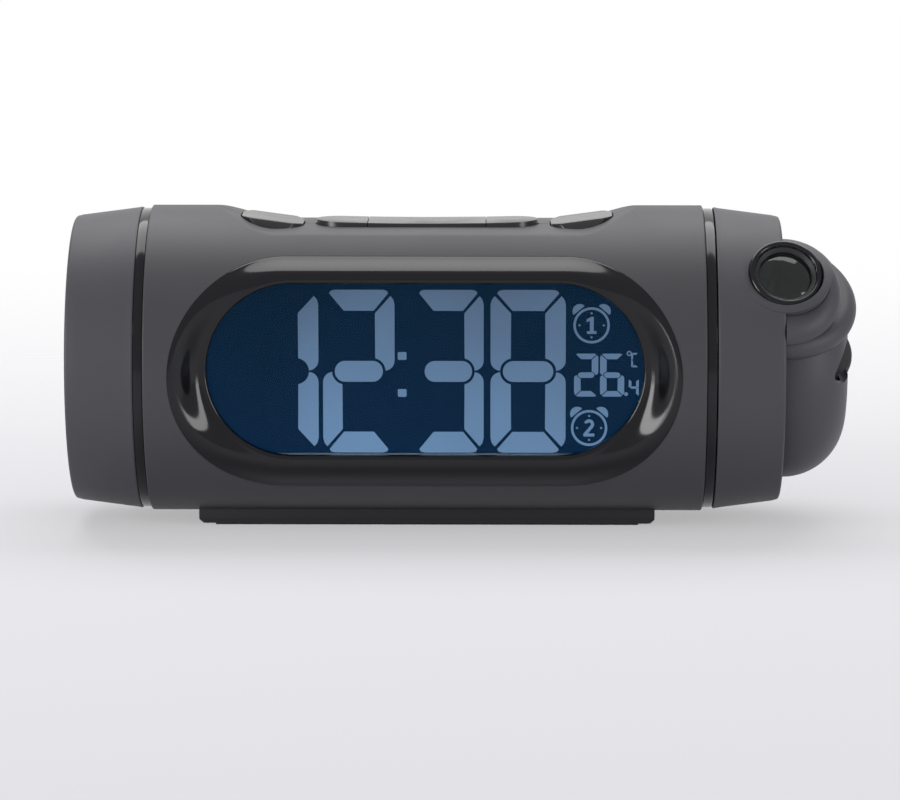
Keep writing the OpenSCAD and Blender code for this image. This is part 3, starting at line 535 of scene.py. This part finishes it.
def ovalPoint(length, height, turn):
    half = (length - height) / 2
    side = 1 if math.cos(turn) >= 0 else -1
    return Vector((side * half + height / 2 * math.cos(turn), height / 2 * math.sin(turn)))


def onRound(radius, point):
    return -math.sqrt(radius * radius - point.y * point.y)


# One point of the bezel: on its outer wall, on the dished face, or on the rim that falls to the window
def bezelPoint(part, amount, turn):
    outer = ovalPoint(display["bezelLength"], display["bezelHeight"], turn)
    lift = Vector((0, display["rise"]))
    lip = ovalPoint(display["lipLength"], display["lipHeight"], turn) + lift
    opening = ovalPoint(display["windowLength"], display["windowHeight"], turn) + lift
    if part == "wall":
        return outer.x, onRound(display["bezelRadius"] - amount, outer), outer.y
    if part == "face":
        share, sunk = amount
        point = outer.lerp(lip, share)
        dish = smoothStep(0, 1, share)
        depth = onRound(display["bezelRadius"], point) * (1 - dish) - display["lipDepth"] * dish + sunk
        return point.x, depth, point.y
    share, depth = amount
    point = lip.lerp(opening, share)
    return point.x, -depth, point.y


def makeBezel():
    faceRows = bezelMesh["faceRows"]
    rows = [("wall", depth) for depth in bezelMesh["wall"]]
    rows += [("face", edge) for edge in bezelMesh["faceEdge"]]
    rows += [("face", (i / faceRows, 0.0)) for i in range(1, faceRows + 1)]
    rows += [("rim", step) for step in bezelMesh["rim"]]
    bm = bmesh.new()
    loops = []
    for part, amount in rows:
        ring = bmesh.ops.create_circle(bm, segments=bezelMesh["steps"], radius=1.0)["verts"]
        for number, vert in enumerate(ring):
            turn = -math.pi / 2 + (number + 0.5) * math.tau / bezelMesh["steps"]
            vert.co = bezelPoint(part, amount, turn)
        loops.append(ring)
    for ring, following in zip(loops, loops[1:]):
        edges = list({edge for vert in ring + following for edge in vert.link_edges
                      if all(v in ring for v in edge.verts) or all(v in following for v in edge.verts)})
        bmesh.ops.bridge_loops(bm, edges=edges)
    bmesh.ops.recalc_face_normals(bm, faces=bm.faces)
    return bm


makePiece("displayBezel", makeBezel(), glossPlastic, "clock", ["display_bezel"],
          smoothAngle=50)

displayPlace = Matrix.Translation((0, 0, display["rise"])) @ alongY
windowOutline = stadiumOutline(display["windowLength"] + display["windowMargin"],
                               display["windowHeight"] + display["windowMargin"])
windowBack = display["windowFront"] - display["windowThickness"]
window = extrudeOutline(windowOutline, windowBack, display["windowFront"], displayPlace)
makePiece("displayWindow", window, windowAcrylic, "clock", ["display_window"])

lcd = {"width": 113.0, "height": 44.0, "front": 29.2, "thickness": 2.4, "edge": 0.15,
       "plate": 0.12, "plateSink": 0.02}
cellOutline = boxOutline(-lcd["width"] / 2, lcd["width"] / 2, -lcd["height"] / 2, lcd["height"] / 2)
cell = extrudeOutline(cellOutline, lcd["front"] - lcd["thickness"], lcd["front"], displayPlace)
softenEdges(cell, lcd["edge"])
makePiece("lcdCell", cell, negativeCell, "clock", ["lcd_panel"])

segment = {"width": 19.2, "height": 42.1, "stroke": 5.25, "capsuleInset": 3.15, "capsule": 2.69, "bite": 3.42,
           "corner": 2.6, "cornerLift": 0.2}
litSegments = {"1": "bc", "2": "abged", "3": "abgcd", "4": "fgbc", "6": "afgecd", "8": "abcdefg", "C": "afed"}
bigDigits = {"height": 0.5, "row": [("1", -36.97, 19.2), ("2", -17.03, 18.35),  # middle and width of each
                                    ("3", 5.9, 18.1), ("8", 26.33, 19.25)]}
smallDigits = [("2", 41.2, -0.4, 6.2, 11.1), ("6", 47.85, -0.4, 6.2, 11.1),  # middle, height, width, tallness
               ("4", 53.4, -3.6, 2.6, 4.4), ("C", 53.6, 3.5, 1.8, 3.7)]
colon = {"middle": -5.925, "heights": (4.48, -5.1), "halfWidth": 1.125, "halfHeight": 1.0, "chamfer": 0.2}
decimalPoint = {"middle": 51.45, "height": -5.3, "radius": 0.5}
degreeSign = {"middle": 52.2, "height": 5.2, "radius": 0.5, "stroke": 0.3}
alarmSign = {"radius": 4.35, "stroke": 0.62, "dotReach": 3.1, "dot": 0.28, "bellAside": 3.05, "bellUp": 3.65,
             "bell": 1.85, "bellLean": 40, "bellSpread": 82}
alarmSigns = [("1", 42.55, 12.45), ("2", 42.0, -14.1)]


def mirrorOutline(points, across, up):
    moved = [(x * across, y * up) for x, y in points]
    return moved if across * up > 0 else moved[::-1]


# Outlines of the seven segments a to g about the middle of a digit
def segmentOutlines():
    halfWidth, halfHeight = segment["width"] / 2, segment["height"] / 2
    capsule, corner = segment["capsule"], segment["corner"]
    capsuleX = halfWidth - segment["capsuleInset"] - capsule
    topRight = [(halfWidth - 5.6, halfHeight - 5.4), (halfWidth - 1.7, halfHeight - 0.9),
                (halfWidth - 2.1, halfHeight - 0.3), (halfWidth - 3.0, halfHeight)]
    top = topRight + [(-x, y) for x, y in reversed(topRight)]
    side = [(halfWidth - segment["stroke"], halfHeight - 6.1), (halfWidth - 1.1, halfHeight - 1.6),
            (halfWidth - 0.35, halfHeight - 2.5), (halfWidth, halfHeight - 3.8)]
    side += arcPoints((halfWidth - corner, corner + segment["cornerLift"]), corner, 0, -90, 6)
    side += arcPoints((capsuleX, 0), segment["bite"], 5, 79, 8)
    bar = arcPoints((capsuleX, 0), capsule, -90, 90, 12) + arcPoints((-capsuleX, 0), capsule, 90, 270, 12)
    return {"a": top, "b": side, "c": mirrorOutline(side, 1, -1), "d": mirrorOutline(top, 1, -1),
            "e": mirrorOutline(side, -1, -1), "f": mirrorOutline(side, -1, 1), "g": bar}


def addPlate(bm, points):
    front = lcd["front"]
    appendShape(bm, extrudeOutline(points, front - lcd["plateSink"], front + lcd["plate"], alongY))


def addDigit(bm, digit, middle, height, width, tall):
    outlines = segmentOutlines()
    for name in litSegments[digit]:
        addPlate(bm, [(middle + x * width / segment["width"], height + y * tall / segment["height"])
                      for x, y in outlines[name]])


def circleOutline(middle, height, radius, steps):
    return arcPoints((middle, height), radius, 0, 360 - 360 / steps, steps - 1)


def chamferedOutline(middle, height, halfWidth, halfHeight, chamfer):
    corner = [(halfWidth - chamfer, -halfHeight), (halfWidth, chamfer - halfHeight)]
    right = corner + [(x, -y) for x, y in reversed(corner)]
    return [(middle + x, height + y) for x, y in right + [(-x, y) for x, y in reversed(right)]]


def addRing(bm, middle, height, radius, stroke):
    section = boxOutline(radius - stroke / 2, radius + stroke / 2, lcd["front"], lcd["front"] + lcd["plate"])
    appendShape(bm, spinProfile(section, Matrix.Translation((middle, 0, height)) @ alongY, 64))


def addOne(bm, middle, height):
    addPlate(bm, [(middle - 1.2, height - 2.2), (middle + 1.25, height - 2.2), (middle + 1.25, height - 1.5),
                  (middle + 0.55, height - 1.5), (middle + 0.55, height + 2.2), (middle - 0.1, height + 2.2),
                  (middle - 1.3, height + 1.5), (middle - 1.3, height + 0.8), (middle - 0.45, height + 1.15),
                  (middle - 0.45, height - 1.5), (middle - 1.2, height - 1.5)])


def addTwo(bm, middle, height):
    hook = arcPoints((middle, height + 0.95), 1.3, 165, -35, 10)
    inner = arcPoints((middle, height + 0.95), 0.5, -30, 160, 8)
    foot = [(middle - 0.35, height - 1.45), (middle + 1.35, height - 1.45), (middle + 1.35, height - 2.2),
            (middle - 1.45, height - 2.2), (middle - 1.45, height - 1.5)]
    addPlate(bm, (hook + foot + inner)[::-1])


# A ring with four hour dots and two bells round the alarm's number
def addAlarmSign(bm, digit, middle, height):
    addRing(bm, middle, height, alarmSign["radius"], alarmSign["stroke"])
    for turn in (0, 90, 180, 270):
        dotX = middle + alarmSign["dotReach"] * math.cos(math.radians(turn))
        dotHeight = height + alarmSign["dotReach"] * math.sin(math.radians(turn))
        addPlate(bm, circleOutline(dotX, dotHeight, alarmSign["dot"], 12))
    for side in (-1, 1):
        tilt = 90 - side * alarmSign["bellLean"]
        centre = (middle + side * alarmSign["bellAside"], height + alarmSign["bellUp"])
        spread = alarmSign["bellSpread"]
        addPlate(bm, arcPoints(centre, alarmSign["bell"], tilt - spread, tilt + spread, 14))
    addNumber = {"1": addOne, "2": addTwo}[digit]
    addNumber(bm, middle, height)


digits = bmesh.new()
for digit, middle, width in bigDigits["row"]:
    addDigit(digits, digit, middle, bigDigits["height"], width, segment["height"])
for digit, middle, height, width, tall in smallDigits:
    addDigit(digits, digit, middle, height, width, tall)
for height in colon["heights"]:
    addPlate(digits, chamferedOutline(colon["middle"], height, colon["halfWidth"], colon["halfHeight"],
                                      colon["chamfer"]))
addPlate(digits, circleOutline(decimalPoint["middle"], decimalPoint["height"], decimalPoint["radius"], 16))
addRing(digits, degreeSign["middle"], degreeSign["height"], degreeSign["radius"], degreeSign["stroke"])
for digit, middle, height in alarmSigns:
    addAlarmSign(digits, digit, middle, height)
makePiece("lcdDigits", digits, litCell, "clock")
print("display ready")

ends = {"ringStart": 71.8, "ringEnd": 74.4, "capEnd": 92.0, "capRadius": 39.5, "capEndRadius": 37.2,
        "capWall": 2.2, "capEdge": 0.9, "taperRows": 17, "capLead": 0.4,
        "capEase": [(0.45, 0.0), (0.15, 0.08)]}  # how far in, and how far along, its inner edge is eased
trim = {"radius": 39.2, "inner": 35.7, "spigot": 37.7, "spigotLength": 5.0, "spigotGap": 0.02,
        "edge": 0.3, "easeIn": 0.1, "easeAlong": 0.08}
leftCapInside = {"seat": 33.6, "grilleDepth": 3.2, "ledge": 1.4, "bore": 36.0, "boreAtRing": 37.2,
                 "flange": 2.0}


def trimRing(place):
    radius, start, end = trim["radius"], ends["ringStart"], ends["ringEnd"]
    edge, easeIn, easeAlong = trim["edge"], trim["easeIn"], trim["easeAlong"]
    profile = [(trim["inner"], start - trim["spigotLength"]), (trim["spigot"], start - trim["spigotLength"]),
               (trim["spigot"], start - trim["spigotGap"]), (radius - edge, start),
               (radius - easeIn, start + easeAlong), (radius, start + edge), (radius, end - edge),
               (radius - easeIn, end - easeAlong),
               (radius - edge, end), (trim["inner"], end)]
    ring = spinProfile(profile, place, 240)
    bmesh.ops.recalc_face_normals(ring, faces=ring.faces)
    return ring


for name, node, place in (("leftTrimRing", "left_trim_ring", flipped @ alongX),
                          ("rightTrimRing", "right_trim_ring", alongX)):
    makePiece(name, trimRing(place), glossPlastic, "clock", [node])


# A cap's radius on its taper, at x along the casing
def taperRadius(x):
    share = (x - ends["ringEnd"]) / (ends["capEnd"] - ends["ringEnd"])
    return ends["capRadius"] + (ends["capEndRadius"] - ends["capRadius"]) * share


# Profile of a cap's outside, from its eased inner edge over the taper to the rounded end
def capOutside(start):
    edge = ends["capEdge"]
    taperStart, taperEnd = start + ends["capLead"], ends["capEnd"] - edge
    points = [(ends["capRadius"] - drop, start + along) for drop, along in ends["capEase"]]
    points.append((ends["capRadius"], taperStart))
    for i in range(1, ends["taperRows"]):
        x = taperStart + (taperEnd - taperStart) * i / ends["taperRows"]
        points.append((taperRadius(x), x))
    return points + arcPoints((ends["capEndRadius"] - edge, taperEnd), edge, 0, 90, 6)


def leftCapProfile():
    inside = leftCapInside
    rim = ends["capEndRadius"] - ends["capWall"]
    ledgeTop = ends["capEnd"] - inside["grilleDepth"]
    ledgeFoot = ledgeTop - inside["ledge"]
    flange = ends["ringEnd"] + inside["flange"]
    return capOutside(ends["ringEnd"]) + [
        (rim, ends["capEnd"]), (rim, ledgeTop), (inside["seat"], ledgeTop), (inside["seat"], ledgeFoot),
        (inside["bore"], ledgeFoot), (inside["boreAtRing"], flange), (inside["seat"], flange),
        (inside["seat"], ends["ringEnd"])]


leftCap = spinProfile(leftCapProfile(), flipped @ alongX, 240)
bmesh.ops.recalc_face_normals(leftCap, faces=leftCap.faces)
makePiece("leftCap", leftCap, capPlastic, "clock", ["left_cap"])
makePiece("speakerGrille", cadCopy("speaker_grille"), capPlastic, "clock", ["speaker_grille"])

taperDrop, taperLength = ends["capRadius"] - ends["capEndRadius"], ends["capEnd"] - ends["ringEnd"]
capTaper = math.degrees(math.atan2(taperDrop, taperLength))
optics = {"up": 37.0, "shift": 3.95, "reach": 37.1, "proud": 0.2, "collar": 11.75, "rimRadius": 9.55,
          "rimTop": 38.4, "seat": 33.8, "rimBore": 8.0, "tube": 10.0, "tubeBore": 7.95}
eye = {"radius": 38.1, "shift": 3.0, "blendStart": 10.5, "blendEnd": 17.5, "skin": 1.3, "ringClear": 0.7,
       "sink": 0.2}
opticX = ends["capEnd"] + optics["proud"] - optics["reach"] * math.tan(math.radians(capTaper))
onOptic = (Matrix.Translation((opticX, 0, 0)) @ Matrix.Rotation(math.radians(90 - optics["up"]), 4, "X")
           @ Matrix.Translation((0, optics["shift"], 0)) @ Matrix.Rotation(math.radians(capTaper), 4, "Y"))
lensDirection = onOptic.to_3x3() @ Vector((0, 0, 1))
lensFoot = onOptic.translation.copy()
upTurn = math.radians(optics["up"])
eyeCentre = Vector((0, -eye["shift"] * math.sin(upTurn), -eye["shift"] * math.cos(upTurn)))


def eyeRod(drop, low, high):
    return rod(eye["radius"] - drop, low, high, Matrix.Translation(eyeCentre) @ alongX, 360)


# Lifts the cap's outside smoothly into the round form that carries the lens
def raiseEye(bm):
    for vert in bm.verts:
        spoke = Vector((0, vert.co.y, vert.co.z))
        radius = spoke.length
        outside = taperRadius(vert.co.x)
        offset = vert.co - lensFoot
        ahead = offset.dot(lensDirection)
        inside = radius < outside - eye["skin"] or vert.co.x < ends["ringEnd"] + eye["ringClear"]
        if inside or ahead < 0:
            continue
        fromAxis = (offset - lensDirection * ahead).length
        weight = 1 - smoothStep(eye["blendStart"], eye["blendEnd"], fromAxis)
        if weight <= 0:
            continue
        direction = spoke / radius
        along = direction.dot(eyeCentre)
        raised = along + math.sqrt(along * along - eyeCentre.length_squared + eye["radius"] ** 2)
        vert.co += direction * max(raised - outside, -eye["sink"]) * weight


rightCapInside = {"start": 0.3, "plateFront": 77.6, "plateBack": 75.6, "hubEnd": 56.8, "hubBore": 8.5,
                  "hub": 12.0, "wallFront": 36.9, "wallBack": 37.1, "wallStart": 37.3}


def rightCapProfile():
    inside = rightCapInside
    start = ends["ringEnd"] + inside["start"]
    return capOutside(start) + [
        (ends["capEndRadius"] - ends["capWall"], ends["capEnd"]), (inside["wallFront"], inside["plateFront"]),
        (inside["hubBore"], inside["plateFront"]), (inside["hubBore"], inside["hubEnd"]),
        (inside["hub"], inside["hubEnd"]), (inside["hub"], inside["plateBack"]),
        (inside["wallBack"], inside["plateBack"]), (inside["wallStart"], start)]


lensSeat = {"collarFoot": 26, "collarTop": 46, "collarEdge": 0.45, "collarProud": 0.03, "eyeStart": 76,
            "eyeEnd": 112, "tubeFoot": 24, "tubeTop": 35, "boreFoot": 20, "cutTop": 50, "rimGap": 0.1}


# The collar round the lens follows the eye's round, and its edge is eased before it joins the cap
def makeCollar():
    eyeForm = eyeRod(-lensSeat["collarProud"], lensSeat["eyeStart"], lensSeat["eyeEnd"])
    stem = rod(optics["collar"], lensSeat["collarFoot"], lensSeat["collarTop"], onOptic, 128)
    collar = combine(stem, [("INTERSECT", eyeForm)])
    softenEdges(collar, lensSeat["collarEdge"], angle=40, segments=3)
    return collar


rightCap = spinProfile(rightCapProfile(), alongX, 360)
raiseEye(rightCap)
rimRadius = optics["rimRadius"] + lensSeat["rimGap"]
rightCap = combine(rightCap, [
    ("UNION", makeCollar()),
    ("UNION", rod(optics["tube"], lensSeat["tubeFoot"], lensSeat["tubeTop"], onOptic)),
    ("DIFFERENCE", rod(rimRadius, optics["seat"], lensSeat["cutTop"], onOptic, 128)),
    ("DIFFERENCE", rod(optics["tubeBore"], lensSeat["boreFoot"], lensSeat["cutTop"], onOptic)),
])
makePiece("rightCap", rightCap, capPlastic, "projector", ["right_cap"], smoothAngle=24)

lensRim = {"edge": 0.8, "belowSeat": 2.0,
           "boreEase": [(0.5, 0.0), (0.2, 0.15), (0.0, 0.6)]}  # how far out, and how far down


def lensRimProfile():
    edge, foot, top = lensRim["edge"], optics["seat"] - lensRim["belowSeat"], optics["rimTop"]
    profile = [(optics["rimBore"], foot), (optics["rimRadius"], foot), (optics["rimRadius"], top - edge)]
    profile += arcPoints((optics["rimRadius"] - edge, top - edge), edge, 10, 90, 8)
    return profile + [(optics["rimBore"] + out, top - down) for out, down in lensRim["boreEase"]]


makePiece("lensRim", spinProfile(lensRimProfile(), onOptic), lensRimPlastic, "projector",
          ["lens_bezel"], smoothAngle=50)

lens = {"ball": 16.0, "top": 38.0, "foot": 33.0, "radius": 6.8, "rows": 16}
lensEdge = math.asin(lens["radius"] / lens["ball"])
lensProfile = [(0, lens["foot"]), (lens["radius"], lens["foot"])]
for i in range(lens["rows"] + 1):
    turn = lensEdge * (1 - i / lens["rows"])
    height = lens["top"] - lens["ball"] * (1 - math.cos(turn))
    lensProfile.append((lens["ball"] * math.sin(turn), height))
projectionLens = spinProfile(lensProfile, onOptic, 128, closed=False)
makePiece("projectionLens", projectionLens, lensGlass, "lens_carrier", ["projection_lens"],
          smoothAngle=40)

drum = {"radius": 31.2, "start": 90.8, "end": 109.2, "corner": 16.2, "wall": 2.0, "cornerSteps": 32,
        "hollowStart": 88.8, "collarGap": 0.15, "collarCut": (10, 60)}
bead = {"radius": 17.3, "minor": 3.5, "lean": 17.0, "height": 24.0, "foot": -22.0,
        "neck": (0.1, -5.2), "lip": (0.45, -4.1)}  # how far out of the bead's radius, and how high
edgeRing = {"place": (-0.9, -2.4, 33.1), "foot": -9.0, "neck": (15.3, -0.25), "lip": (15.85, -0.1),
            "roundCentre": (11.2, -1.4), "round": 5.0, "top": 3.6}
turretTrim = {"drop": 1.0, "start": 0.05, "end": 132.0}  # the turret lies this far inside the eye's round
wheel = {"across": 12.9, "turn": -16.0, "radius": 11.2, "low": 1.0, "high": 5.0, "edge": 0.8, "gap": 0.7,
         "spindle": 2.0, "spindleEnd": 23.0}
slot = {"low": (107.2, -1.3), "high": (111.4, 7.6), "radius": 2.1, "back": -6.0, "front": 40.0}
wheelPlace = (onOptic @ Matrix.Rotation(math.radians(wheel["turn"]), 4, "Z")
              @ Matrix.Translation((wheel["across"], 0, 0)))


def drumShape(inset, start, steps):
    centre = (drum["radius"] - drum["corner"], drum["end"] - drum["corner"])
    profile = [(0, start), (drum["radius"] - inset, start)]
    profile += arcPoints(centre, drum["corner"] - inset, 0, 90, drum["cornerSteps"])
    return spinProfile(profile + [(0, drum["end"] - inset)], alongX, steps, closed=False)


def makeTurret():
    place = (onOptic @ Matrix.Translation((0, 0, bead["height"]))
             @ Matrix.Rotation(math.radians(-bead["lean"]), 4, "X"))
    (neckOut, neckTop), (lipOut, lipTop) = bead["neck"], bead["lip"]
    neck = bead["radius"] + neckOut
    profile = [(0, bead["foot"]), (neck, bead["foot"]), (neck, neckTop), (bead["radius"] + lipOut, lipTop)]
    profile += arcPoints((bead["radius"], 0), bead["minor"], -70, 90, 24) + [(0, bead["minor"])]
    turret = spinProfile(profile, place, closed=False)
    edgePlace = onOptic @ Matrix.Translation(edgeRing["place"])
    edgeProfile = [(0, edgeRing["foot"]), (edgeRing["neck"][0], edgeRing["foot"]), edgeRing["neck"],
                   edgeRing["lip"]]
    edgeProfile += arcPoints(edgeRing["roundCentre"], edgeRing["round"], 17, 90, 18) + [(0, edgeRing["top"])]
    return combine(turret, [
        ("UNION", spinProfile(edgeProfile, edgePlace, closed=False)),
        ("INTERSECT", eyeRod(turretTrim["drop"], ends["capEnd"] + turretTrim["start"], turretTrim["end"])),
    ])


def wheelSlot():
    (lowX, lowZ), (highX, highZ) = slot["low"], slot["high"]
    lean = math.degrees(math.atan2(highZ - lowZ, highX - lowX))
    outline = (arcPoints(slot["low"], slot["radius"], lean + 90, lean + 270, 16)
               + arcPoints(slot["high"], slot["radius"], lean - 90, lean + 90, 16))
    return extrudeOutline(outline, slot["back"], slot["front"], alongY)


wheelPocket = rod(wheel["radius"] + wheel["gap"], wheel["low"] - wheel["gap"], wheel["high"] + wheel["gap"],
                  wheelPlace)
projectorDrum = combine(drumShape(0, drum["start"], 240), [
    ("UNION", makeTurret()),
    ("DIFFERENCE", drumShape(drum["wall"], drum["hollowStart"], 120)),
    ("DIFFERENCE", rod(optics["collar"] + drum["collarGap"], *drum["collarCut"], onOptic, 128)),
    ("DIFFERENCE", wheelPocket),
    ("DIFFERENCE", wheelSlot()),
])
makePiece("projectorDrum", projectorDrum, capPlastic, "projector", ["projector_shell"],
          smoothAngle=30)

rimMiddle = wheel["radius"] - wheel["edge"]
wheelProfile = [(0, wheel["low"]), (rimMiddle, wheel["low"])]
wheelProfile += arcPoints((rimMiddle, wheel["low"] + wheel["edge"]), wheel["edge"], -90, 0, 5)
wheelProfile += arcPoints((rimMiddle, wheel["high"] - wheel["edge"]), wheel["edge"], 0, 90, 5)
wheelProfile += [(wheel["spindle"], wheel["high"]), (wheel["spindle"], wheel["spindleEnd"]),
                 (0, wheel["spindleEnd"])]
focusWheel = spinProfile(wheelProfile, wheelPlace, 96, closed=False)
makePiece("focusWheel", focusWheel, wheelPlastic, "focus_wheel", ["focus_wheel"])
print("projector ready")

deckKeyNames = {"leftOuterKey": "left_outer_key", "rightOuterKey": "right_outer_key",
                "leftInnerKey": "left_inner_key", "snoozeBar": "snooze_bar",
                "rightInnerKey": "right_inner_key"}
setKeyNames = {"timeKey": "time_key", "alarmKey": "alarm_key", "upKey": "up_key", "downKey": "down_key"}
deckKeyEdge = {"width": 0.28, "angle": 25, "segments": 3}
plainEdge = {"width": 0.15, "angle": 35}
heavyEdge = {"width": 0.2, "angle": 35}


def softPiece(name, node, edge, material, body):
    bm = cadCopy(node)
    softenEdges(bm, **edge)
    makePiece(name, bm, material, body, [node], smoothAngle=35)


for name, node in deckKeyNames.items():
    softPiece(name, node, deckKeyEdge, keyPlastic, node)
for name, node in setKeyNames.items():
    softPiece(name, node, plainEdge, keyPlastic, node)
softPiece("baseFoot", "base_foot", heavyEdge, darkPlastic, "clock")
softPiece("batteryDoor", "battery_door", heavyEdge, casingPlastic, "battery_door")
print("keys, foot and door ready")

# The frame parts that keep their own mesh
keptParts = {
    whitePlastic: ["lcd_frame"],
    guideAcrylic: ["light_guide"],
    solderMask: ["main_board", "top_key_board", "rear_key_board", "projector_led_board"],
    darkPlastic: ["battery_box", "power_jack", "swivel_bearing", "projector_frame", "lens_barrel", "speaker"],
    rubber: ["foot_pad"],
    zincPlatedSteel: ["housing_screws", "foot_screws", "projector_screws", "friction_washer",
                      "retaining_clip", "battery_contacts"],
    cellJacket: ["battery_cells"],
    lensGlass: ["condenser_lens", "projector_lcd"],
}
for material, nodes in keptParts.items():
    for node in nodes:
        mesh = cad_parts[node].data
        mesh.materials.clear()
        mesh.materials.append(material)
print("inner parts ready")

scene = bpy.context.scene
scene.view_settings.view_transform = "Standard"

# The floor is matt and partly clear, so that its shadows stay soft and it ends in the white backdrop
floorSettings = {"radius": 3.0, "colour": "#e6e5ea", "farStart": 0.8, "farEnd": 2.5, "behindEnd": 0.6,
                 "clearness": 0.4}


def makeFloor():
    bm = bmesh.new()
    bmesh.ops.create_circle(bm, cap_ends=True, segments=96, radius=floorSettings["radius"])
    mesh = bpy.data.meshes.new("floor")
    bm.to_mesh(mesh)
    bm.free()
    floor = bpy.data.objects.new("floor", mesh)
    scene.collection.objects.link(floor)
    material, tree = newMaterial("paleStudioPaper")
    place = addNode(tree, "TexCoord").outputs["Object"]
    distance = addNode(tree, "VectorMath", {0: place}, operation="LENGTH")
    far = addNode(tree, "MapRange", {"Value": distance.outputs["Value"],
                                     "From Min": floorSettings["farStart"],
                                     "From Max": floorSettings["farEnd"]}, interpolation_type="SMOOTHSTEP")
    parts = addNode(tree, "SeparateXYZ", {"Vector": place})
    behind = addNode(tree, "MapRange", {"Value": parts.outputs["Y"], "From Min": 0.0,
                                        "From Max": floorSettings["behindEnd"]},
                     interpolation_type="SMOOTHSTEP")
    fade = addNode(tree, "Math", {0: far.outputs["Result"], 1: behind.outputs["Result"]}, operation="MAXIMUM")
    thinned = addNode(tree, "MapRange", {"Value": fade.outputs["Value"],
                                         "To Min": floorSettings["clearness"]})
    paper = addNode(tree, "BsdfDiffuse", {"Color": linearColour(floorSettings["colour"]), "Roughness": 0.3})
    clear = addNode(tree, "BsdfTransparent")
    mixed = addNode(tree, "MixShader", {"Fac": thinned.outputs["Result"], 1: paper.outputs["BSDF"],
                                        2: clear.outputs["BSDF"]})
    finishMaterial(tree, mixed.outputs["Shader"])
    mesh.materials.append(material)


studio = {"ambient": "#f4f5fb", "ambientStrength": 0.4, "backdropStart": 0.5, "backdropEnd": 0.85}


# The backdrop is white to the eye and through glass; gloss shows it only where it stands, behind the clock
def makeWorld():
    world = bpy.data.worlds.new("studio")
    scene.world = world
    world.use_nodes = True
    tree = world.node_tree
    tree.nodes.clear()
    path = addNode(tree, "LightPath")
    direct = addNode(tree, "Math", {0: path.outputs["Is Camera Ray"], 1: path.outputs["Is Transmission Ray"]},
                     operation="MAXIMUM")
    direction = addNode(tree, "SeparateXYZ", {"Vector": addNode(tree, "TexCoord").outputs["Generated"]})
    backdrop = addNode(tree, "MapRange", {"Value": direction.outputs["Y"],
                                          "From Min": studio["backdropStart"],
                                          "From Max": studio["backdropEnd"]})
    mirrored = addNode(tree, "Math", {0: path.outputs["Is Glossy Ray"], 1: backdrop.outputs["Result"]},
                       operation="MULTIPLY")
    seen = addNode(tree, "Math", {0: direct.outputs["Value"], 1: mirrored.outputs["Value"]},
                   operation="MAXIMUM")
    ambient = addNode(tree, "Background", {"Color": linearColour(studio["ambient"]),
                                           "Strength": studio["ambientStrength"]})
    white = addNode(tree, "Background", {"Color": linearColour("#ffffff"), "Strength": 1.0})
    mixed = addNode(tree, "MixShader", {"Fac": seen.outputs["Value"], 1: ambient.outputs["Background"],
                                        2: white.outputs["Background"]})
    addNode(tree, "OutputWorld", {"Surface": mixed.outputs["Shader"]})


lamps = {  # metres and watts
    "overheadSoftbox": {"place": (0, 0.45, 1.0), "aim": (0, 0, 0.04), "size": (1.3, 0.8), "power": 8.2},
    "leftSoftbox": {"place": (-0.9, -0.5, 0.2), "aim": (0, 0, 0.05), "size": (0.4, 0.6), "power": 4.4},
    "rightSoftbox": {"place": (0.9, -0.5, 0.2), "aim": (0, 0, 0.05), "size": (0.3, 0.5), "power": 2.0},
}


def makeLamp(name, place, aim, size, power):
    data = bpy.data.lights.new(name, "AREA")
    data.shape = "RECTANGLE"
    data.size, data.size_y = size
    data.energy = power
    lamp = bpy.data.objects.new(name, data)
    scene.collection.objects.link(lamp)
    lamp.location = place
    lamp.rotation_euler = (Vector(aim) - Vector(place)).to_track_quat("-Z", "Y").to_euler()


camera = {"place": (0.02195, -1.174, 0.208), "forward": (-0.0109, 0.9902, -0.1392), "focal": 180.6,
          "sensor": 36.0, "shift": (-0.0131, -0.0472)}


def makeCamera():
    data = bpy.data.cameras.new("camera")
    data.lens, data.sensor_width = camera["focal"], camera["sensor"]
    data.sensor_fit = "HORIZONTAL"
    data.shift_x, data.shift_y = camera["shift"]
    item = bpy.data.objects.new("camera", data)
    scene.collection.objects.link(item)
    forward = Vector(camera["forward"]).normalized()
    right = forward.cross(Vector((0, 0, 1))).normalized()
    up = right.cross(forward)
    turn = Matrix((right, up, -forward)).transposed().to_4x4()
    item.matrix_world = Matrix.Translation(camera["place"]) @ turn
    scene.camera = item


makeFloor()
makeWorld()
makeCamera()
for name, settings in lamps.items():
    makeLamp(name, **settings)
print("studio ready")
